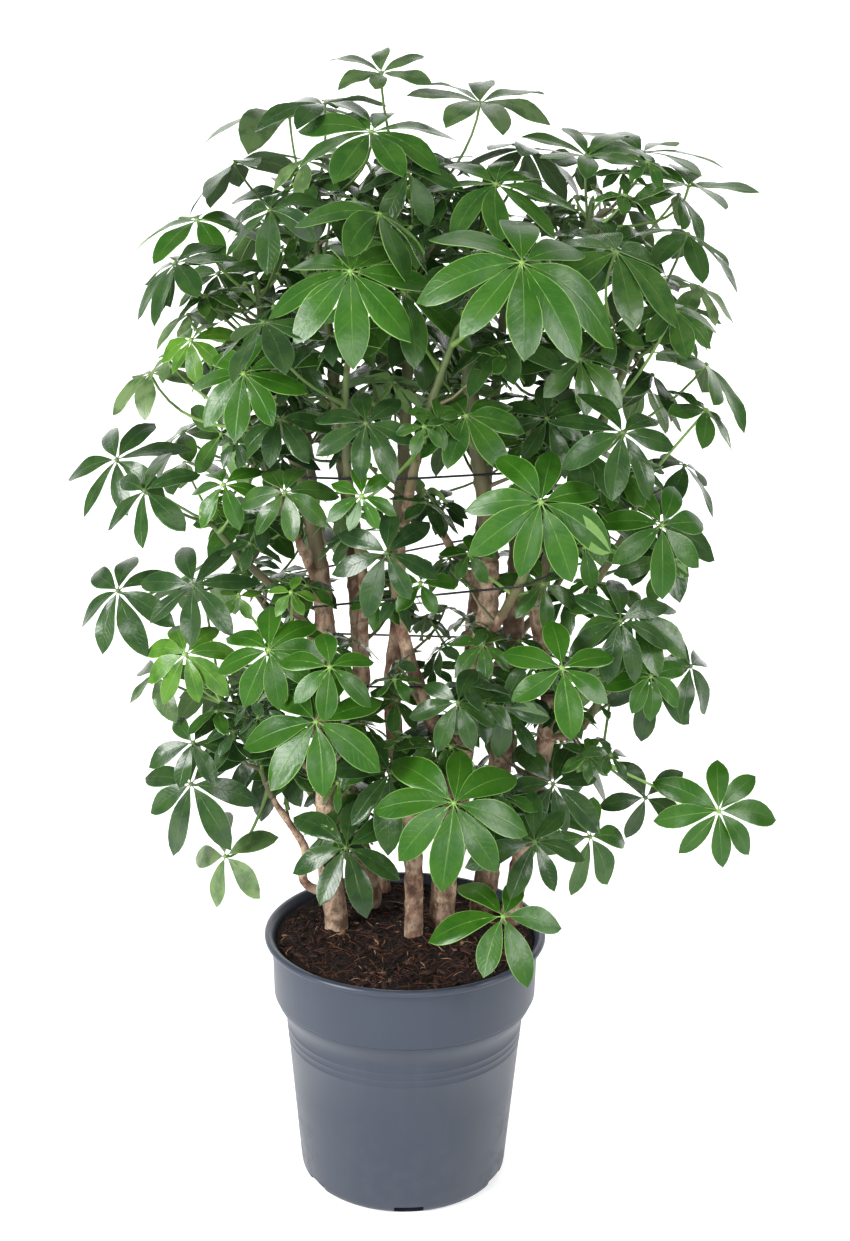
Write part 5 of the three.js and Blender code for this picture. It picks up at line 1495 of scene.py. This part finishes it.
# %% The finish of a leaf's underside
leaf_under, place, surface = finish("leaf_under", Specular_IOR_Level=0.35)
across, along, light, _, pale = leaf_wires(place)
colour = light.blend((0.060, 0.115, 0.045), (0.130, 0.260, 0.050))
colour = pale.blend(colour, (0.22, 0.28, 0.16))
net = place.noise(260, 4)
deeper = light.blend((0.040, 0.085, 0.030), (0.095, 0.205, 0.035))
colour = (net.between(0.42, 0.62) * 0.35).blend(colour, deeper)
veins = side_veins(across, along)
lines = (veins * 0.3 + across.between(0.10, 0.03) * 0.5).clamp()
colour = lines.blend(colour, (0.20, 0.32, 0.12))
connect(surface, height=veins + 0.4 * net, strength=0.3, depth=0.0005, Base_Color=colour,
        Roughness=0.55 + 0.1 * net)
print("underside, shader nodes:", len(leaf_under.node_tree.nodes))

# %% The finish of stalks and green stems
green_stem, place, surface = finish("green_stem", Specular_IOR_Level=0.4)
along, _, _ = place.node("ShaderNodeAttribute", {"attribute_name": "tone"}).split()
streak = place.stretch(500, 60).noise(1.0, 3)
colour = along.ramp((0.0, (0.125, 0.095, 0.050)), (0.30, (0.085, 0.095, 0.036)),
                    (0.65, (0.070, 0.125, 0.030)), (1.0, (0.185, 0.330, 0.070)))
colour = (streak.between(0.5, 0.75) * 0.3).blend(colour, (0.16, 0.19, 0.08))
connect(surface, height=streak, strength=0.25, depth=0.0004, Base_Color=colour,
        Roughness=0.42 + 0.15 * streak)
print("leaf finishes:", leaf_top.name, leaf_under.name, green_stem.name)

# %% Every leafy stem
for stem in STEMS:
    own = [leaf for leaf in placed if leaf["stem"] is stem]
    leafy_piece(stem, own, [leaf_top, leaf_under, green_stem])

# %% [markdown]
# The plant stands in a white studio. The floor runs up into a wall behind in one soft curve, so there
# is no horizon. Wide soft lights above, at both sides and in front give the broad white sheen on the
# waxy leaves and only faint shadows, and one more lights the wall. Past the floor the camera sees
# plain white, but the light that comes from there is dim, so the leaves keep their depth. None of this
# is part of the plant, and the floor is not tied to its body.

# %% The studio floor
SWEEP_RADIUS = 1.2
SWEEP_BACK = 2.6
SWEEP_STEPS = 12
SWEEP_TOP = 5
SWEEP_WIDTH = 9
SWEEP_FRONT = -4

sweep_mesh = bmesh.new()
sweep = [(SWEEP_FRONT, 0), (SWEEP_BACK, 0)]
for step in range(1, SWEEP_STEPS + 1):
    turn = math.pi / 2 * step / SWEEP_STEPS
    sweep.append((SWEEP_BACK + SWEEP_RADIUS * math.sin(turn), SWEEP_RADIUS * (1 - math.cos(turn))))
sweep.append((SWEEP_BACK + SWEEP_RADIUS, SWEEP_TOP))
corners = [sweep_mesh.verts.new((-SWEEP_WIDTH / 2, y, z)) for y, z in sweep]
wire = [sweep_mesh.edges.new(pair) for pair in zip(corners, corners[1:])]
grown = bmesh.ops.extrude_edge_only(sweep_mesh, edges=wire)["geom"]
bmesh.ops.translate(sweep_mesh, verts=[part for part in grown if isinstance(part, bmesh.types.BMVert)],
                    vec=(SWEEP_WIDTH, 0, 0))
bmesh.ops.recalc_face_normals(sweep_mesh, faces=sweep_mesh.faces)
studio_floor = linked_object("studio_floor", sweep_mesh)
studio_floor.data.shade_smooth()
paper_white, place, surface = finish("paper_white", Base_Color=(0.86, 0.86, 0.86, 1), Roughness=0.9,
                                     Specular_IOR_Level=0.1, Emission_Strength=0.37,
                                     Emission_Color=(1, 1, 1, 1))
studio_floor.data.materials.append(paper_white)
print("floor faces:", len(studio_floor.data.polygons))

# %% The lights
def soft_light(name, place, size, power, aim=(0, 0, 0.6)):
    data = bpy.data.lights.new(name, "AREA")
    data.shape = "RECTANGLE"
    data.size, data.size_y = size
    data.energy = power
    light = bpy.data.objects.new(name, data)
    light.location = place
    light.rotation_euler = (Vector(aim) - Vector(place)).to_track_quat("-Z", "Y").to_euler()
    light.visible_camera = False
    bpy.context.scene.collection.objects.link(light)


soft_light("overhead", (-0.3, -1.1, 2.6), (1.1, 0.8), 8)
soft_light("left_window", (-2.0, -1.5, 1.4), (0.8, 1.4), 108)
soft_light("right_window", (2.2, -1.3, 1.5), (0.8, 1.4), 52)
soft_light("front_fill", (0.2, -3.2, 1.5), (1.3, 1.0), 39)
soft_light("backdrop", (0, 1.5, 2.3), (3.2, 0.8), 75, aim=(0, 3.7, 0.5))

AROUND = 0.22
world = bpy.data.worlds.new("studio")
world.use_nodes = True
background = world.node_tree.nodes["Background"]
background.inputs["Color"].default_value = (1, 1, 1, 1)
camera_ray = Wire(world.node_tree).node("ShaderNodeLightPath")
world.node_tree.links.new((AROUND + (1 - AROUND) * camera_ray).socket, background.inputs["Strength"])
bpy.context.scene.world = world
bpy.context.scene.view_settings.view_transform = "Standard"
print("lights:", sum(thing.type == "LIGHT" for thing in bpy.data.objects))
